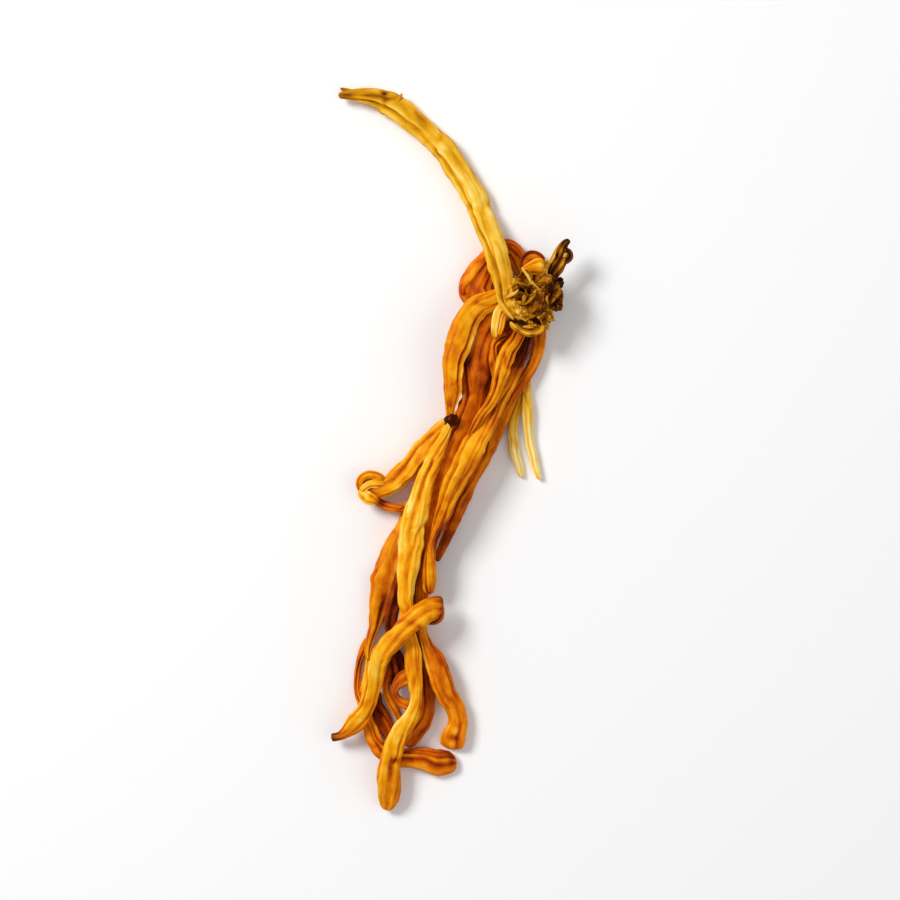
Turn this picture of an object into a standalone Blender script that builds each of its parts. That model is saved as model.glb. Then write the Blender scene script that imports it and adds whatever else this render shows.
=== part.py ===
"""A dried cordyceps tuft: flattened strands that grew from one crumbly base knot, lying on a flat surface.

Metres, +Z up. The origin is the centre of the tuft's footprint, on the surface that it lies on. +Y runs towards
the tip of the long yellow strand.
"""

import math

import bmesh
import bpy
import numpy as np
from mathutils import Vector, noise

MM = 0.001

# Moves the strands' plan, which is drawn about a point inside the bundle, onto the footprint's centre.
PLAN_SHIFT = Vector((0.22, 0.1)) * MM

GAP = 0.3 * MM  # between two solids that touch
SIDES = 8  # corners of a strand's section
RING_STEP = 1.6 * MM  # spacing of the sections along a strand
FINE_STEP = 0.4 * MM  # spacing at which a strand is laid on those below

# A dried strand is a flattened tube: a thin one is nearly round, a wide one is flat.
THICKNESS_LEAST = 0.35 * MM
THICKNESS_SHARE = 0.42

# A dry strand is stiff: it bridges a hollow, and it climbs over its neighbours at no more than this slope.
STEEPEST = 0.35
WAVE_HEIGHT = 0.3 * MM
WAVE_LENGTH = 11 * MM
EASING_PASSES = 60

# How finely shapes are sampled: points on each stretch of a route, points across a strand when it is laid and when
# it is added to what lies below, and how much denser its rows are then.
STRETCH_POINTS = 24
LAID_ACROSS = 11
PRESSED_ACROSS = 31
PRESSED_DENSER = 4
FEWEST_RINGS = 4

KNOT_CENTRE = Vector((9.6, 17.6, 3.0)) * MM
KNOT_RADII = Vector((3.2, 4.1, 3.5)) * MM
KNOT_LUMPS = 0.5 * MM
KNOT_LUMPS_ACROSS = 2.3  # how many lumps fit in the knot's radius
KNOT_LUMPS_START = Vector((4.1, 0.7, 2.9))
KNOT_SPLITS = 3
KNOT_COLOUR = (0.24, 0.15, 0.03)

# The twig's route in plan, in mm, and the heights of its two ends.
TWIG_ROUTE = [(11.6, 20.4, 1.5), (12.1, 21.5, 1.6), (12.6, 22.6, 1.5), (13.1, 23.4, 1.1), (13.63, 24.1, 0.6)]
TWIG_HEIGHTS = (3.4 * MM, 4.6 * MM)
TWIG_COLOUR = (0.09, 0.045, 0.015)

FLESH_ROUGHNESS = 0.55
CRUST_ROUGHNESS = 0.85

# The height of what has been laid so far, on a square grid over the footprint.
CELL = 0.2 * MM
FIELD_CORNER = np.array((-18.0, -46.0)) * MM
FIELD_CELLS = (180, 460)

# Each strand in the order in which it was laid down: its colour, then its route in plan from root to tip, in mm, as
# (x, y, width) or (x, y, width, lift), where lift is how far it bows up off what is under it.
STRANDS = {
    "outer_left_strand": (
        (0.72, 0.36, 0.04),
        [(8.2, 15.6, 1.3), (6.4, 14.2, 1.4), (5.0, 12.2, 1.6), (3.8, 9.6, 1.6), (2.4, 6.8, 1.6), (1.0, 3.8, 1.6),
         (-0.5, 0.8, 1.7), (-2.0, -2.2, 1.8), (-3.5, -5.2, 2.0), (-4.8, -7.8, 2.3), (-6.0, -10.2, 2.7),
         (-7.0, -12.6, 3.0), (-7.7, -15.0, 3.2, 0.4), (-8.2, -17.2, 2.8, 0.6), (-8.8, -19.2, 2.1, 0.4),
         (-9.25, -20.9, 1.2), (-9.3, -22.0, 1.0)],
    ),
    "pale_runner_short": (
        (0.82, 0.56, 0.26),
        [(7.6, 4.4, 0.7), (7.25, 2.9, 0.9), (7.15, 1.2, 0.9), (7.4, -0.6, 0.9), (7.9, -2.3, 0.7), (8.3, -3.4, 0.4)],
    ),
    "pale_runner_long": (
        (0.86, 0.66, 0.34),
        [(8.75, 7.6, 0.8), (8.75, 5.8, 1.0), (8.8, 3.8, 1.0), (8.95, 1.6, 0.9), (9.3, -0.4, 0.9), (9.8, -2.2, 0.7),
         (10.3, -3.6, 0.4)],
    ),
    "valley_strand": (
        (0.45, 0.12, 0.01),
        [(8.2, 15.2, 1.4), (7.0, 13.8, 1.5), (5.8, 12.4, 1.6), (4.9, 10.6, 1.5), (4.7, 8.6, 1.4), (4.6, 6.6, 1.5),
         (3.7, 4.6, 1.6), (2.6, 2.6, 1.6), (1.4, 0.4, 1.6), (0.2, -1.8, 1.7), (-0.9, -4.2, 1.8), (-1.9, -6.8, 1.8),
         (-2.8, -9.4, 1.7), (-3.4, -12.0, 1.5), (-3.9, -14.6, 1.4), (-4.2, -17.0, 1.3), (-4.1, -19.4, 1.3),
         (-3.8, -21.6, 1.4), (-3.4, -24.0, 1.6), (-3.0, -26.4, 1.8), (-2.9, -28.6, 1.8), (-3.0, -30.6, 1.9),
         (-3.9, -32.2, 1.9), (-4.9, -33.6, 1.6), (-5.5, -34.4, 1.0)],
    ),
    "return_arc": (
        (0.62, 0.25, 0.03),
        [(-9.3, -6.4, 0.8), (-8.2, -6.9, 1.0), (-6.9, -7.1, 1.0), (-5.7, -6.9, 1.0), (-4.7, -6.3, 0.8)],
    ),
    "deep_red_strand": (
        (0.40, 0.08, 0.01),
        [(-8.7, -28.2, 0.9), (-8.8, -29.8, 1.4), (-8.3, -31.4, 1.6), (-7.6, -32.9, 1.4), (-7.0, -34.2, 0.9)],
    ),
    "low_red_strand": (
        (0.58, 0.19, 0.02),
        [(-10.1, -23.1, 0.5), (-10.7, -24.6, 0.6), (-11.0, -26.2, 0.7), (-11.0, -28.0, 0.7), (-10.6, -29.6, 0.9),
         (-10.1, -31.0, 1.2), (-9.6, -32.6, 1.5), (-9.1, -34.1, 1.6), (-8.1, -35.4, 1.8), (-6.6, -36.1, 2.1),
         (-4.9, -36.2, 2.3), (-3.2, -36.4, 2.6), (-1.6, -36.7, 2.9), (-0.3, -36.8, 2.5), (0.5, -36.8, 1.2)],
    ),
    "folded_strand": (
        (0.66, 0.26, 0.02),
        [(9.8, 19.6, 1.5), (8.9, 21.4, 1.7), (8.0, 22.9, 1.9), (6.8, 23.7, 2.1), (5.4, 23.2, 2.6), (4.2, 21.8, 3.2),
         (3.4, 20.2, 3.7), (3.1, 18.6, 3.8), (3.3, 17.0, 3.0), (3.5, 15.4, 2.2), (3.4, 13.6, 1.4), (3.1, 12.4, 0.8)],
    ),
    "middle_strand": (
        (0.62, 0.22, 0.02),
        [(8.0, 17.6, 1.6), (6.2, 16.7, 1.7), (4.8, 15.5, 2.1), (3.8, 13.9, 2.6), (3.0, 12.0, 2.6), (2.7, 10.0, 2.7),
         (2.75, 8.0, 3.0), (2.6, 6.2, 2.9), (2.1, 4.4, 2.6), (1.4, 2.6, 2.3), (0.6, 0.8, 2.2), (-0.2, -1.2, 2.3),
         (-1.0, -3.4, 2.3), (-1.7, -5.6, 2.2), (-2.3, -8.0, 1.9), (-2.8, -10.4, 1.6), (-3.1, -12.8, 1.4),
         (-3.3, -15.2, 1.3), (-3.4, -17.6, 1.3), (-3.3, -19.6, 1.1), (-3.2, -21.4, 1.0), (-2.8, -23.2, 1.6),
         (-2.1, -25.0, 2.2), (-1.3, -27.0, 2.4), (-0.5, -28.8, 2.3), (0.3, -30.4, 2.3), (0.6, -32.0, 2.4),
         (0.4, -33.6, 2.9), (0.3, -34.7, 2.2), (0.2, -35.3, 1.1)],
    ),
    "right_edge_strand": (
        (0.55, 0.22, 0.03),
        [(10.2, 15.6, 1.2), (10.3, 13.4, 1.2), (10.1, 11.8, 1.2), (9.6, 10.2, 1.2), (8.9, 8.9, 1.1), (8.2, 7.6, 1.1),
         (7.3, 6.2, 1.2), (6.4, 4.6, 1.3), (5.6, 2.8, 1.4), (4.9, 1.2, 1.4), (4.1, -0.4, 1.4), (3.2, -2.0, 1.4),
         (2.3, -3.8, 1.3), (1.5, -5.6, 1.4), (0.7, -7.4, 1.4), (-0.1, -9.1, 1.3), (-1.0, -10.9, 1.1),
         (-1.6, -12.3, 0.8), (-1.8, -13.1, 0.5)],
    ),
    "inner_thin_strand": (
        (0.60, 0.24, 0.03),
        [(-4.9, -10.6, 0.8), (-5.7, -13.0, 1.0), (-6.3, -15.6, 1.1), (-6.85, -18.0, 1.3), (-7.1, -20.0, 1.3),
         (-7.0, -22.0, 1.2), (-6.9, -24.0, 1.2), (-7.2, -26.0, 1.0), (-7.6, -28.0, 0.9), (-7.1, -29.6, 0.8),
         (-6.4, -31.0, 0.7), (-6.1, -31.9, 0.5)],
    ),
    "inner_loop_strand": (
        (0.66, 0.28, 0.03),
        [(-3.9, -25.6, 0.9), (-4.9, -26.2, 1.2), (-5.9, -26.6, 1.3), (-6.6, -27.5, 1.2), (-6.5, -28.6, 1.2),
         (-5.7, -29.5, 1.2), (-4.6, -30.0, 1.0), (-3.8, -30.2, 0.7)],
    ),
    "right_amber_strand": (
        (0.76, 0.36, 0.03),
        [(9.0, 15.0, 1.4), (8.7, 13.0, 1.4), (8.3, 11.2, 1.3), (7.6, 9.6, 1.4), (6.9, 8.0, 1.5), (6.1, 6.6, 1.6),
         (5.2, 5.2, 1.8), (4.4, 3.6, 2.0), (3.5, 2.0, 2.2), (2.4, 0.2, 2.4), (1.3, -1.8, 2.4), (0.3, -3.8, 2.2),
         (-0.5, -5.8, 1.9), (-1.2, -7.8, 1.5), (-1.9, -9.8, 1.1), (-2.4, -11.4, 1.0), (-2.6, -13.0, 1.5),
         (-2.65, -14.6, 1.7), (-2.65, -16.0, 1.4), (-2.6, -16.9, 0.6)],
    ),
    "golden_neck_strand": (
        (0.80, 0.42, 0.04),
        [(8.4, 14.8, 1.2), (7.8, 13.0, 1.3), (6.8, 11.6, 1.7), (6.1, 10.0, 1.8), (5.5, 8.4, 1.5), (5.0, 6.9, 1.2),
         (4.3, 5.4, 1.1), (3.5, 4.0, 1.0), (2.7, 2.6, 0.8), (2.1, 1.4, 0.5)],
    ),
    "pale_neck_strand": (
        (0.84, 0.60, 0.26),
        [(7.6, 17.0, 1.0), (6.2, 16.4, 1.1), (5.6, 15.6, 1.2), (5.35, 14.4, 1.3), (5.3, 13.2, 1.1), (5.4, 12.0, 0.7)],
    ),
    "outer_strand": (
        (0.82, 0.44, 0.03),
        [(7.6, 18.4, 1.7), (6.0, 17.9, 1.8), (4.6, 17.3, 1.9), (3.2, 16.6, 2.1), (2.0, 15.4, 2.4), (1.1, 13.6, 2.6),
         (0.6, 11.6, 2.6), (0.2, 9.6, 2.2), (0.1, 7.6, 2.0), (-0.05, 5.9, 1.6), (-0.2, 4.7, 1.1), (-0.2, 3.9, 0.8)],
    ),
    "curled_strand": (
        (0.80, 0.44, 0.05),
        [(-1.0, 2.9, 1.2), (-2.1, 1.5, 2.0), (-3.4, -0.1, 2.5, 0.2), (-4.8, -1.8, 2.8, 0.5), (-6.1, -3.1, 2.8, 0.8),
         (-7.5, -4.0, 2.5, 1.0), (-8.9, -4.3, 2.8, 1.0), (-10.1, -4.3, 2.7, 0.8), (-10.9, -4.3, 1.4, 0.6)],
    ),
    "gold_strand": (
        (0.88, 0.56, 0.10),
        [(-0.2, 2.8, 0.8), (-0.9, 1.2, 1.2), (-1.8, -0.8, 1.5), (-2.7, -2.8, 1.8), (-3.5, -5.0, 2.2),
         (-4.0, -7.2, 2.5), (-4.5, -9.4, 2.6), (-4.8, -11.6, 2.5), (-5.0, -13.8, 2.2), (-5.3, -15.8, 1.8),
         (-5.4, -17.6, 1.5), (-5.2, -19.4, 1.5), (-4.9, -21.2, 1.6), (-4.6, -23.2, 1.7), (-4.5, -25.4, 1.7),
         (-4.3, -27.6, 1.6), (-4.2, -29.4, 1.6), (-4.7, -31.0, 1.9), (-5.7, -32.6, 2.2), (-6.7, -34.4, 2.4),
         (-7.2, -36.4, 2.5), (-7.3, -38.4, 3.1), (-7.4, -40.2, 2.7), (-7.6, -41.6, 1.6), (-7.7, -42.3, 0.8)],
    ),
    "crossing_strand": (
        (0.78, 0.42, 0.06),
        [(-1.2, -19.6, 1.2), (-1.3, -18.5, 1.8), (-2.3, -18.2, 2.2), (-3.5, -18.9, 2.4), (-4.8, -20.1, 2.4),
         (-6.2, -21.5, 2.3), (-7.6, -22.9, 2.2), (-8.5, -24.4, 2.1), (-8.95, -26.2, 2.1), (-9.4, -28.2, 1.8),
         (-10.0, -30.0, 1.6), (-10.9, -31.6, 2.2), (-12.0, -32.8, 1.7), (-13.1, -33.5, 1.1), (-14.2, -33.8, 0.7)],
    ),
    "long_yellow_strand": (
        (0.86, 0.62, 0.20),
        [(8.2, 17.2, 2.2), (7.2, 18.8, 2.4), (6.2, 20.6, 2.6), (5.1, 23.0, 2.6), (4.1, 25.3, 2.5), (3.3, 27.6, 2.4),
         (2.5, 29.6, 2.6, 0.3), (1.4, 31.6, 2.6, 0.5), (0.1, 33.5, 2.4, 0.5), (-1.4, 35.4, 2.5, 0.3),
         (-3.2, 37.2, 2.6), (-5.0, 38.8, 2.8), (-6.8, 40.2, 2.8), (-8.6, 41.1, 2.0, 0.2), (-10.3, 41.4, 1.5, 0.5),
         (-11.8, 41.4, 1.1, 0.8), (-13.3, 41.3, 0.7, 1.0)],
    ),
    "top_stub": (
        (0.52, 0.16, 0.02),
        [(10.9, 21.2, 0.9), (10.4, 22.4, 0.9), (9.5, 23.0, 0.9), (8.7, 22.8, 0.8), (8.3, 22.3, 0.7)],
    ),
}

COLLECTION = "dried_cordyceps_tuft"


def clear_scene():
    for obj in list(bpy.data.objects):
        bpy.data.objects.remove(obj, do_unlink=True)


def coloured(name, colour, roughness=FLESH_ROUGHNESS):
    material = bpy.data.materials.new(name)
    material.use_nodes = True
    shader = material.node_tree.nodes["Principled BSDF"]
    shader.inputs["Base Color"].default_value = (*colour, 1)
    shader.inputs["Roughness"].default_value = roughness
    shader.inputs["Metallic"].default_value = 0
    material.diffuse_color = (*colour, 1)
    return material


def named_object(name, bm, material, collection):
    """Finishes a mesh as one of the tuft's pieces, moved onto the footprint's centre."""
    bmesh.ops.translate(bm, verts=bm.verts, vec=(*PLAN_SHIFT, 0))
    bmesh.ops.recalc_face_normals(bm, faces=bm.faces)
    mesh = bpy.data.meshes.new(name)
    bm.to_mesh(mesh)
    bm.free()
    mesh.materials.append(material)
    mesh.shade_smooth()
    obj = bpy.data.objects.new(name, mesh)
    collection.objects.link(obj)
    return obj


def smooth_rows(rows, step):
    """Rows along a smooth curve through the given ones, evenly spaced. The first two columns are the plan."""
    rows = np.array([tuple(row) + (0,) * (4 - len(row)) for row in rows], float) * MM
    ends = np.vstack((2 * rows[0] - rows[1], rows, 2 * rows[-1] - rows[-2]))
    t = np.linspace(0, 1, STRETCH_POINTS, endpoint=False)[:, None]
    stretches = []
    for a, b, c, d in zip(ends, ends[1:], ends[2:], ends[3:]):
        bend = 2 * b + (c - a) * t + (2 * a - 5 * b + 4 * c - d) * t**2 + (3 * b - a - 3 * c + d) * t**3
        stretches.append(bend / 2)
    dense = np.vstack(stretches + [rows[-1:]])
    run = along(dense)
    even = np.linspace(0, run[-1], max(FEWEST_RINGS, round(run[-1] / step) + 1))
    return np.stack([np.interp(even, run, column) for column in dense.T], axis=1)


def along(rows):
    """Distance in plan from the first row to each row."""
    steps = np.hypot(*np.diff(rows[:, :2], axis=0).T)
    return np.concatenate(((0,), np.cumsum(steps)))


def clear_of_knot(rows):
    """The rows of a strand that lie outside the knot's outline by the gap."""
    reach = np.hypot(
        (rows[:, 0] - KNOT_CENTRE.x) / (KNOT_RADII.x + KNOT_LUMPS + GAP),
        (rows[:, 1] - KNOT_CENTRE.y) / (KNOT_RADII.y + KNOT_LUMPS + GAP),
    )
    return rows[reach > 1]


def thickness_of(width):
    return THICKNESS_LEAST + THICKNESS_SHARE * width


def sideways(rows):
    """Unit vectors in plan, square to the strand."""
    ahead = np.gradient(rows[:, :2], axis=0)
    ahead /= np.linalg.norm(ahead, axis=1)[:, None]
    return np.stack((-ahead[:, 1], ahead[:, 0]), axis=1)


def cells_under(points):
    index = np.floor((points - FIELD_CORNER) / CELL).astype(int)
    return np.clip(index[..., 0], 0, FIELD_CELLS[0] - 1), np.clip(index[..., 1], 0, FIELD_CELLS[1] - 1)


def laid_heights(rows, field, phase):
    """The height of the strand's middle, laid on the surface and on the strands below it."""
    half = thickness_of(rows[:, 2]) / 2
    across = np.linspace(-1, 1, LAID_ACROSS)
    reach = rows[:, 2] / 2 + GAP
    points = rows[:, None, :2] + sideways(rows)[:, None, :] * (across * reach[:, None])[:, :, None]
    below = field[cells_under(points)]
    bulge = half[:, None] * np.sqrt(1 - across**2)
    needed = np.where(below > 0, below + GAP + bulge, half[:, None]).max(axis=1)
    run = along(rows)
    wave = WAVE_HEIGHT * (0.5 - 0.5 * np.cos(2 * math.pi * run / WAVE_LENGTH + phase))
    floor = needed + wave + rows[:, 3]
    height = (floor[None, :] - STEEPEST * np.abs(run[:, None] - run[None, :])).max(axis=1)
    for _ in range(EASING_PASSES):
        eased = height.copy()
        eased[1:-1] = (height[:-2] + 2 * height[1:-1] + height[2:]) / 4
        height = np.maximum(needed, eased)
    return height


def press_into(field, rows, height):
    """Raises the field to the top of a strand that has been laid."""
    fine = np.linspace(0, len(rows) - 1, PRESSED_DENSER * len(rows))
    index = np.arange(len(rows))
    dense = np.stack([np.interp(fine, index, column) for column in rows.T], axis=1)
    middle = np.interp(fine, index, height)
    half = thickness_of(dense[:, 2]) / 2
    across = np.linspace(-1, 1, PRESSED_ACROSS)
    points = dense[:, None, :2] + sideways(dense)[:, None, :] * (across * dense[:, 2:3] / 2)[:, :, None]
    top = middle[:, None] + half[:, None] * np.sqrt(1 - across**2)
    np.maximum.at(field, cells_under(points), top)


def strand_mesh(rows, height):
    """A closed loft of flattened sections along the strand."""
    bm = bmesh.new()
    side = sideways(rows)
    turns = [(corner + 0.5) * 2 * math.pi / SIDES for corner in range(SIDES)]
    flat = math.cos(math.pi / SIDES)  # the section stands on an edge, not on a corner
    rings = []
    for (x, y, width, _), (side_x, side_y), z in zip(rows, side, height):
        half = thickness_of(width) / 2
        ring = []
        for turn in turns:
            out = math.cos(turn) / flat * width / 2
            up = math.sin(turn) / flat * half
            ring.append(bm.verts.new((x + side_x * out, y + side_y * out, z + up)))
        rings.append(ring)
    for first, second in zip(rings, rings[1:]):
        for corner in range(SIDES):
            following = (corner + 1) % SIDES
            bm.faces.new((first[corner], first[following], second[following], second[corner]))
    bm.faces.new(rings[0])
    bm.faces.new(rings[-1])
    bmesh.ops.triangulate(bm, faces=bm.faces)
    return bm


def lay_strands(collection):
    field = np.zeros(FIELD_CELLS)
    for order, (name, (colour, route)) in enumerate(STRANDS.items()):
        fine = clear_of_knot(smooth_rows(route, FINE_STEP))
        height = laid_heights(fine, field, phase=order)
        press_into(field, fine, height)
        count = max(FEWEST_RINGS, round(along(fine)[-1] / RING_STEP) + 1)
        at = np.linspace(0, len(fine) - 1, count)
        index = np.arange(len(fine))
        rows = np.stack([np.interp(at, index, column) for column in fine.T], axis=1)
        bm = strand_mesh(rows, np.interp(at, index, height))
        named_object(name, bm, coloured(name, colour), collection)


def base_knot(collection):
    """A lumpy ball with a flat underside, which the tuft stands on."""
    bm = bmesh.new()
    bmesh.ops.create_icosphere(bm, subdivisions=KNOT_SPLITS, radius=1)
    for vert in bm.verts:
        lump = noise.noise(vert.co * KNOT_LUMPS_ACROSS + KNOT_LUMPS_START)
        radii = KNOT_RADII + Vector((1, 1, 1)) * KNOT_LUMPS * lump
        vert.co = KNOT_CENTRE + vert.co * radii
    everything = bm.verts[:] + bm.edges[:] + bm.faces[:]
    bmesh.ops.bisect_plane(bm, geom=everything, plane_co=(0, 0, 0), plane_no=(0, 0, -1), clear_outer=True)
    rim = [edge for edge in bm.edges if edge.is_boundary]
    bmesh.ops.contextual_create(bm, geom=rim)
    bmesh.ops.triangulate(bm, faces=bm.faces)
    return named_object("base_knot", bm, coloured("base_knot", KNOT_COLOUR, CRUST_ROUGHNESS), collection)


def root_twig(collection):
    """The dark crooked bit that stands off the knot's upper right."""
    rows = clear_of_knot(smooth_rows(TWIG_ROUTE, RING_STEP / 2))
    height = np.linspace(*TWIG_HEIGHTS, len(rows))
    bm = strand_mesh(rows, height)
    return named_object("root_twig", bm, coloured("root_twig", TWIG_COLOUR, CRUST_ROUGHNESS), collection)


def main():
    clear_scene()
    collection = bpy.data.collections.new(COLLECTION)
    bpy.context.scene.collection.children.link(collection)
    base_knot(collection)
    lay_strands(collection)
    root_twig(collection)


main()
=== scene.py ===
# %% [markdown]
# # A dried cordyceps tuft
# The tuft is one small fungus: flattened strands that grew from a crumbly base knot, then dried, shrank
# and twisted. This lesson starts from a frame of plain solids, one for each strand, and builds the real
# skin around it: rolled edges, furrows, pinched tips, and a colour that runs from cream through amber to
# maroon.

# %% Load the frame
import math

import bmesh
import bpy
import numpy as np
from mathutils import Euler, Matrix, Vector, noise
from mathutils.bvhtree import BVHTree


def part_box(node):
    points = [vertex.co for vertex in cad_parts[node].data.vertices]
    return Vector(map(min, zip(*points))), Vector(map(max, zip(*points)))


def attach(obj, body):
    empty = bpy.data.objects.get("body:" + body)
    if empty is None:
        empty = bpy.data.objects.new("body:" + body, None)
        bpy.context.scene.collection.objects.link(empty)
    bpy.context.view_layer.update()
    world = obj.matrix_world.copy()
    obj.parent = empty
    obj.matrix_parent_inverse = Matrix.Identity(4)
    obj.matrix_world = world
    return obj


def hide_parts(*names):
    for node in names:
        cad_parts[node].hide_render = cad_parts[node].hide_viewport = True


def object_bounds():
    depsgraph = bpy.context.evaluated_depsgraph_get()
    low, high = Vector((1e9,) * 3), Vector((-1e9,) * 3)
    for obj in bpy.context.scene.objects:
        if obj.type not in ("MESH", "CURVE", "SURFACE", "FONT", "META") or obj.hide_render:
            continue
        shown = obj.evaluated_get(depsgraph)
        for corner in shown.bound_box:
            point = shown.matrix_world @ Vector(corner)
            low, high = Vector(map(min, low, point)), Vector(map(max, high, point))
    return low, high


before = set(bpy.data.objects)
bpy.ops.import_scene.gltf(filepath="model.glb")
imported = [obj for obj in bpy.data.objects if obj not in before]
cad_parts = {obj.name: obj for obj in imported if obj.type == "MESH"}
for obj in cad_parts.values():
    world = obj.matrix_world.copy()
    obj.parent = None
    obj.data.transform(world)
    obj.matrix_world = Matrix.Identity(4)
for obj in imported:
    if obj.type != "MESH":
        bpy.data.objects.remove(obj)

MM = 0.001
cad_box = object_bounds()
print("frame box, mm:", [[round(value / MM, 2) for value in corner] for corner in cad_box])

# %% [markdown]
# ## The camera and the light
# The tuft lies on a pale table and is seen from straight above. A long lens far away keeps the strands
# near the edge from leaning outwards, as a short lens close by would make them do. A soft light from the
# upper left gives the furrows their shade. A wider, weaker one from the right and a pale sky fill the
# shadows.

# %% Look straight down
VIEW_SHARE = 0.80  # of the picture's height that the tuft fills
LENS = 100.0
SENSOR = 36.0
low, high = (Vector(corner) for corner in cad_box)
view_height = (high.y - low.y) / VIEW_SHARE

camera = bpy.data.objects.new("camera", bpy.data.cameras.new("camera"))
camera.data.lens = LENS
camera.data.sensor_width = SENSOR
camera.data.clip_start = 0.01
camera.location = (0, 0, view_height * LENS / SENSOR)
bpy.context.scene.collection.objects.link(camera)
bpy.context.scene.camera = camera
print(f"camera {camera.location.z / MM:.0f} mm above the table, seeing {view_height / MM:.0f} mm")


# %% Soft studio light on a pale table
def soft_light(name, place, size, power):
    """A square area light that faces the tuft."""
    lamp = bpy.data.lights.new(name, "AREA")
    lamp.shape = "SQUARE"
    lamp.size = size
    lamp.energy = power
    holder = bpy.data.objects.new(name, lamp)
    holder.location = place
    holder.rotation_euler = Vector(place).to_track_quat("Z", "Y").to_euler()
    bpy.context.scene.collection.objects.link(holder)


soft_light("key_light", (-0.30, 0.22, 0.36), size=0.18, power=2.05)
soft_light("fill_light", (0.40, -0.10, 0.36), size=0.50, power=0.60)

SKY_STRENGTH = 0.41
world = bpy.data.worlds.new("pale_sky")
world.use_nodes = True
sky = world.node_tree.nodes["Background"]
sky.inputs["Color"].default_value = (1.0, 1.0, 1.0, 1)
sky.inputs["Strength"].default_value = SKY_STRENGTH
bpy.context.scene.world = world
bpy.context.scene.view_settings.view_transform = "Standard"
print("lights:", ", ".join(lamp.name for lamp in bpy.data.lights))

# %% [markdown]
# The table is a plain square, far larger than the tuft, so that its edge never shows.

# %% Lay the table
TABLE_SIDE = 3.0
TABLE_WHITE = 0.96
bm = bmesh.new()
bmesh.ops.create_grid(bm, x_segments=1, y_segments=1, size=TABLE_SIDE / 2)
table_mesh = bpy.data.meshes.new("table_top")
bm.to_mesh(table_mesh)
bm.free()
table_top = bpy.data.objects.new("table_top", table_mesh)
bpy.context.scene.collection.objects.link(table_top)
table_finish = bpy.data.materials.new("pale_table")
table_finish.use_nodes = True
table_shader = table_finish.node_tree.nodes["Principled BSDF"]
table_shader.inputs["Base Color"].default_value = (TABLE_WHITE, TABLE_WHITE, TABLE_WHITE, 1)
table_shader.inputs["Roughness"].default_value = 0.9
table_shader.inputs["Specular IOR Level"].default_value = 0.1
table_mesh.materials.append(table_finish)
print(f"table: {TABLE_SIDE:.0f} m square")

# %% [markdown]
# ## One number for the colour
# All the strands hold the same pigment, only more or less of it, so the skin carries one number, its
# tone. A ramp turns it into a colour: what is thin and dry is cream or gold, an open face is amber, and a
# crease is maroon. The tone also holds painted light and shade: it is raised on ridges as a painted
# highlight, and lowered in creases, partly for their pigment and partly as painted shade. Four ramps, for
# straw, amber, burnt and crusty flesh, are enough for the whole tuft.


# %% The ramps of tones
def from_screen(red, green, blue):
    """A colour as a screen shows it, 0 to 255, made linear for the shader."""
    shares = [value / 255 for value in (red, green, blue)]
    return (*[s / 12.92 if s <= 0.04045 else ((s + 0.055) / 1.055) ** 2.4 for s in shares], 1.0)


RAMPS = {
    "straw": [
        (0.0, (84, 40, 2)), (0.2, (150, 88, 4)), (0.4, (200, 134, 8)), (0.58, (228, 163, 22)),
        (0.74, (243, 188, 56)), (0.88, (252, 208, 92)), (1.0, (255, 230, 152)),
    ],
    "amber": [
        (0.0, (62, 14, 1)), (0.13, (112, 34, 1)), (0.27, (160, 62, 1)), (0.4, (198, 96, 1)),
        (0.52, (220, 124, 2)), (0.64, (236, 150, 6)), (0.76, (246, 174, 26)), (0.88, (252, 198, 66)),
        (1.0, (255, 222, 128)),
    ],
    "burnt": [
        (0.0, (54, 10, 1)), (0.14, (104, 28, 1)), (0.3, (150, 54, 1)), (0.45, (190, 82, 1)),
        (0.6, (218, 110, 2)), (0.75, (236, 140, 8)), (0.9, (248, 172, 36)), (1.0, (254, 202, 88)),
    ],
    "crust": [
        (0.0, (42, 12, 1)), (0.2, (98, 44, 1)), (0.4, (152, 88, 4)), (0.6, (204, 136, 14)),
        (0.78, (236, 172, 38)), (0.9, (252, 206, 98)), (1.0, (255, 228, 154)),
    ],
}
print("ramps:", ", ".join(RAMPS))

# %% [markdown]
# Three helpers add a node, a sum or an empty group in one line, so that the steps below read like a recipe.


# %% Helpers for shader nodes
def new_node(tree, kind, **values):
    """Adds a node. A value's name is an input's name, or a setting's if the node has no such input."""
    node = tree.nodes.new(kind)
    for name, value in values.items():
        if name in node.inputs:
            node.inputs[name].default_value = value
        else:
            setattr(node, name, value)
    return node


def calculate(tree, operation, first, second):
    """One Math node. Each of the two is a socket or a number."""
    node = tree.nodes.new("ShaderNodeMath")
    node.operation = operation
    for socket, value in zip(node.inputs, (first, second)):
        if isinstance(value, (int, float)):
            socket.default_value = value
        else:
            tree.links.new(value, socket)
    return node.outputs[0]


def new_group(name, inputs, outputs):
    """An empty shader group with named sockets, and its own input and output nodes."""
    group = bpy.data.node_groups.new(name, "ShaderNodeTree")
    for label, kind, default in inputs:
        socket = group.interface.new_socket(label, in_out="INPUT", socket_type=kind)
        socket.default_value = default
    for label, kind in outputs:
        group.interface.new_socket(label, in_out="OUTPUT", socket_type=kind)
    return group, group.nodes.new("NodeGroupInput"), group.nodes.new("NodeGroupOutput")


# %% [markdown]
# ## The dried flesh as a shader group
# Every strand uses the same effect with its own values, so it is built once as a node group. It reads two
# things that each strand's mesh carries: `tone`, and `grain`, a place in a space where the strand is
# straight and short, so that plain noise in that space comes out as long streaks on the strand. Blotches
# come from noise in Object coordinates, because they don't follow the fibres.

# %% Build the flesh group
NOISE_GAIN = 2.5  # noise stays near its middle, so it is stretched
ROUGHNESS_SPREAD = 0.26

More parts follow.
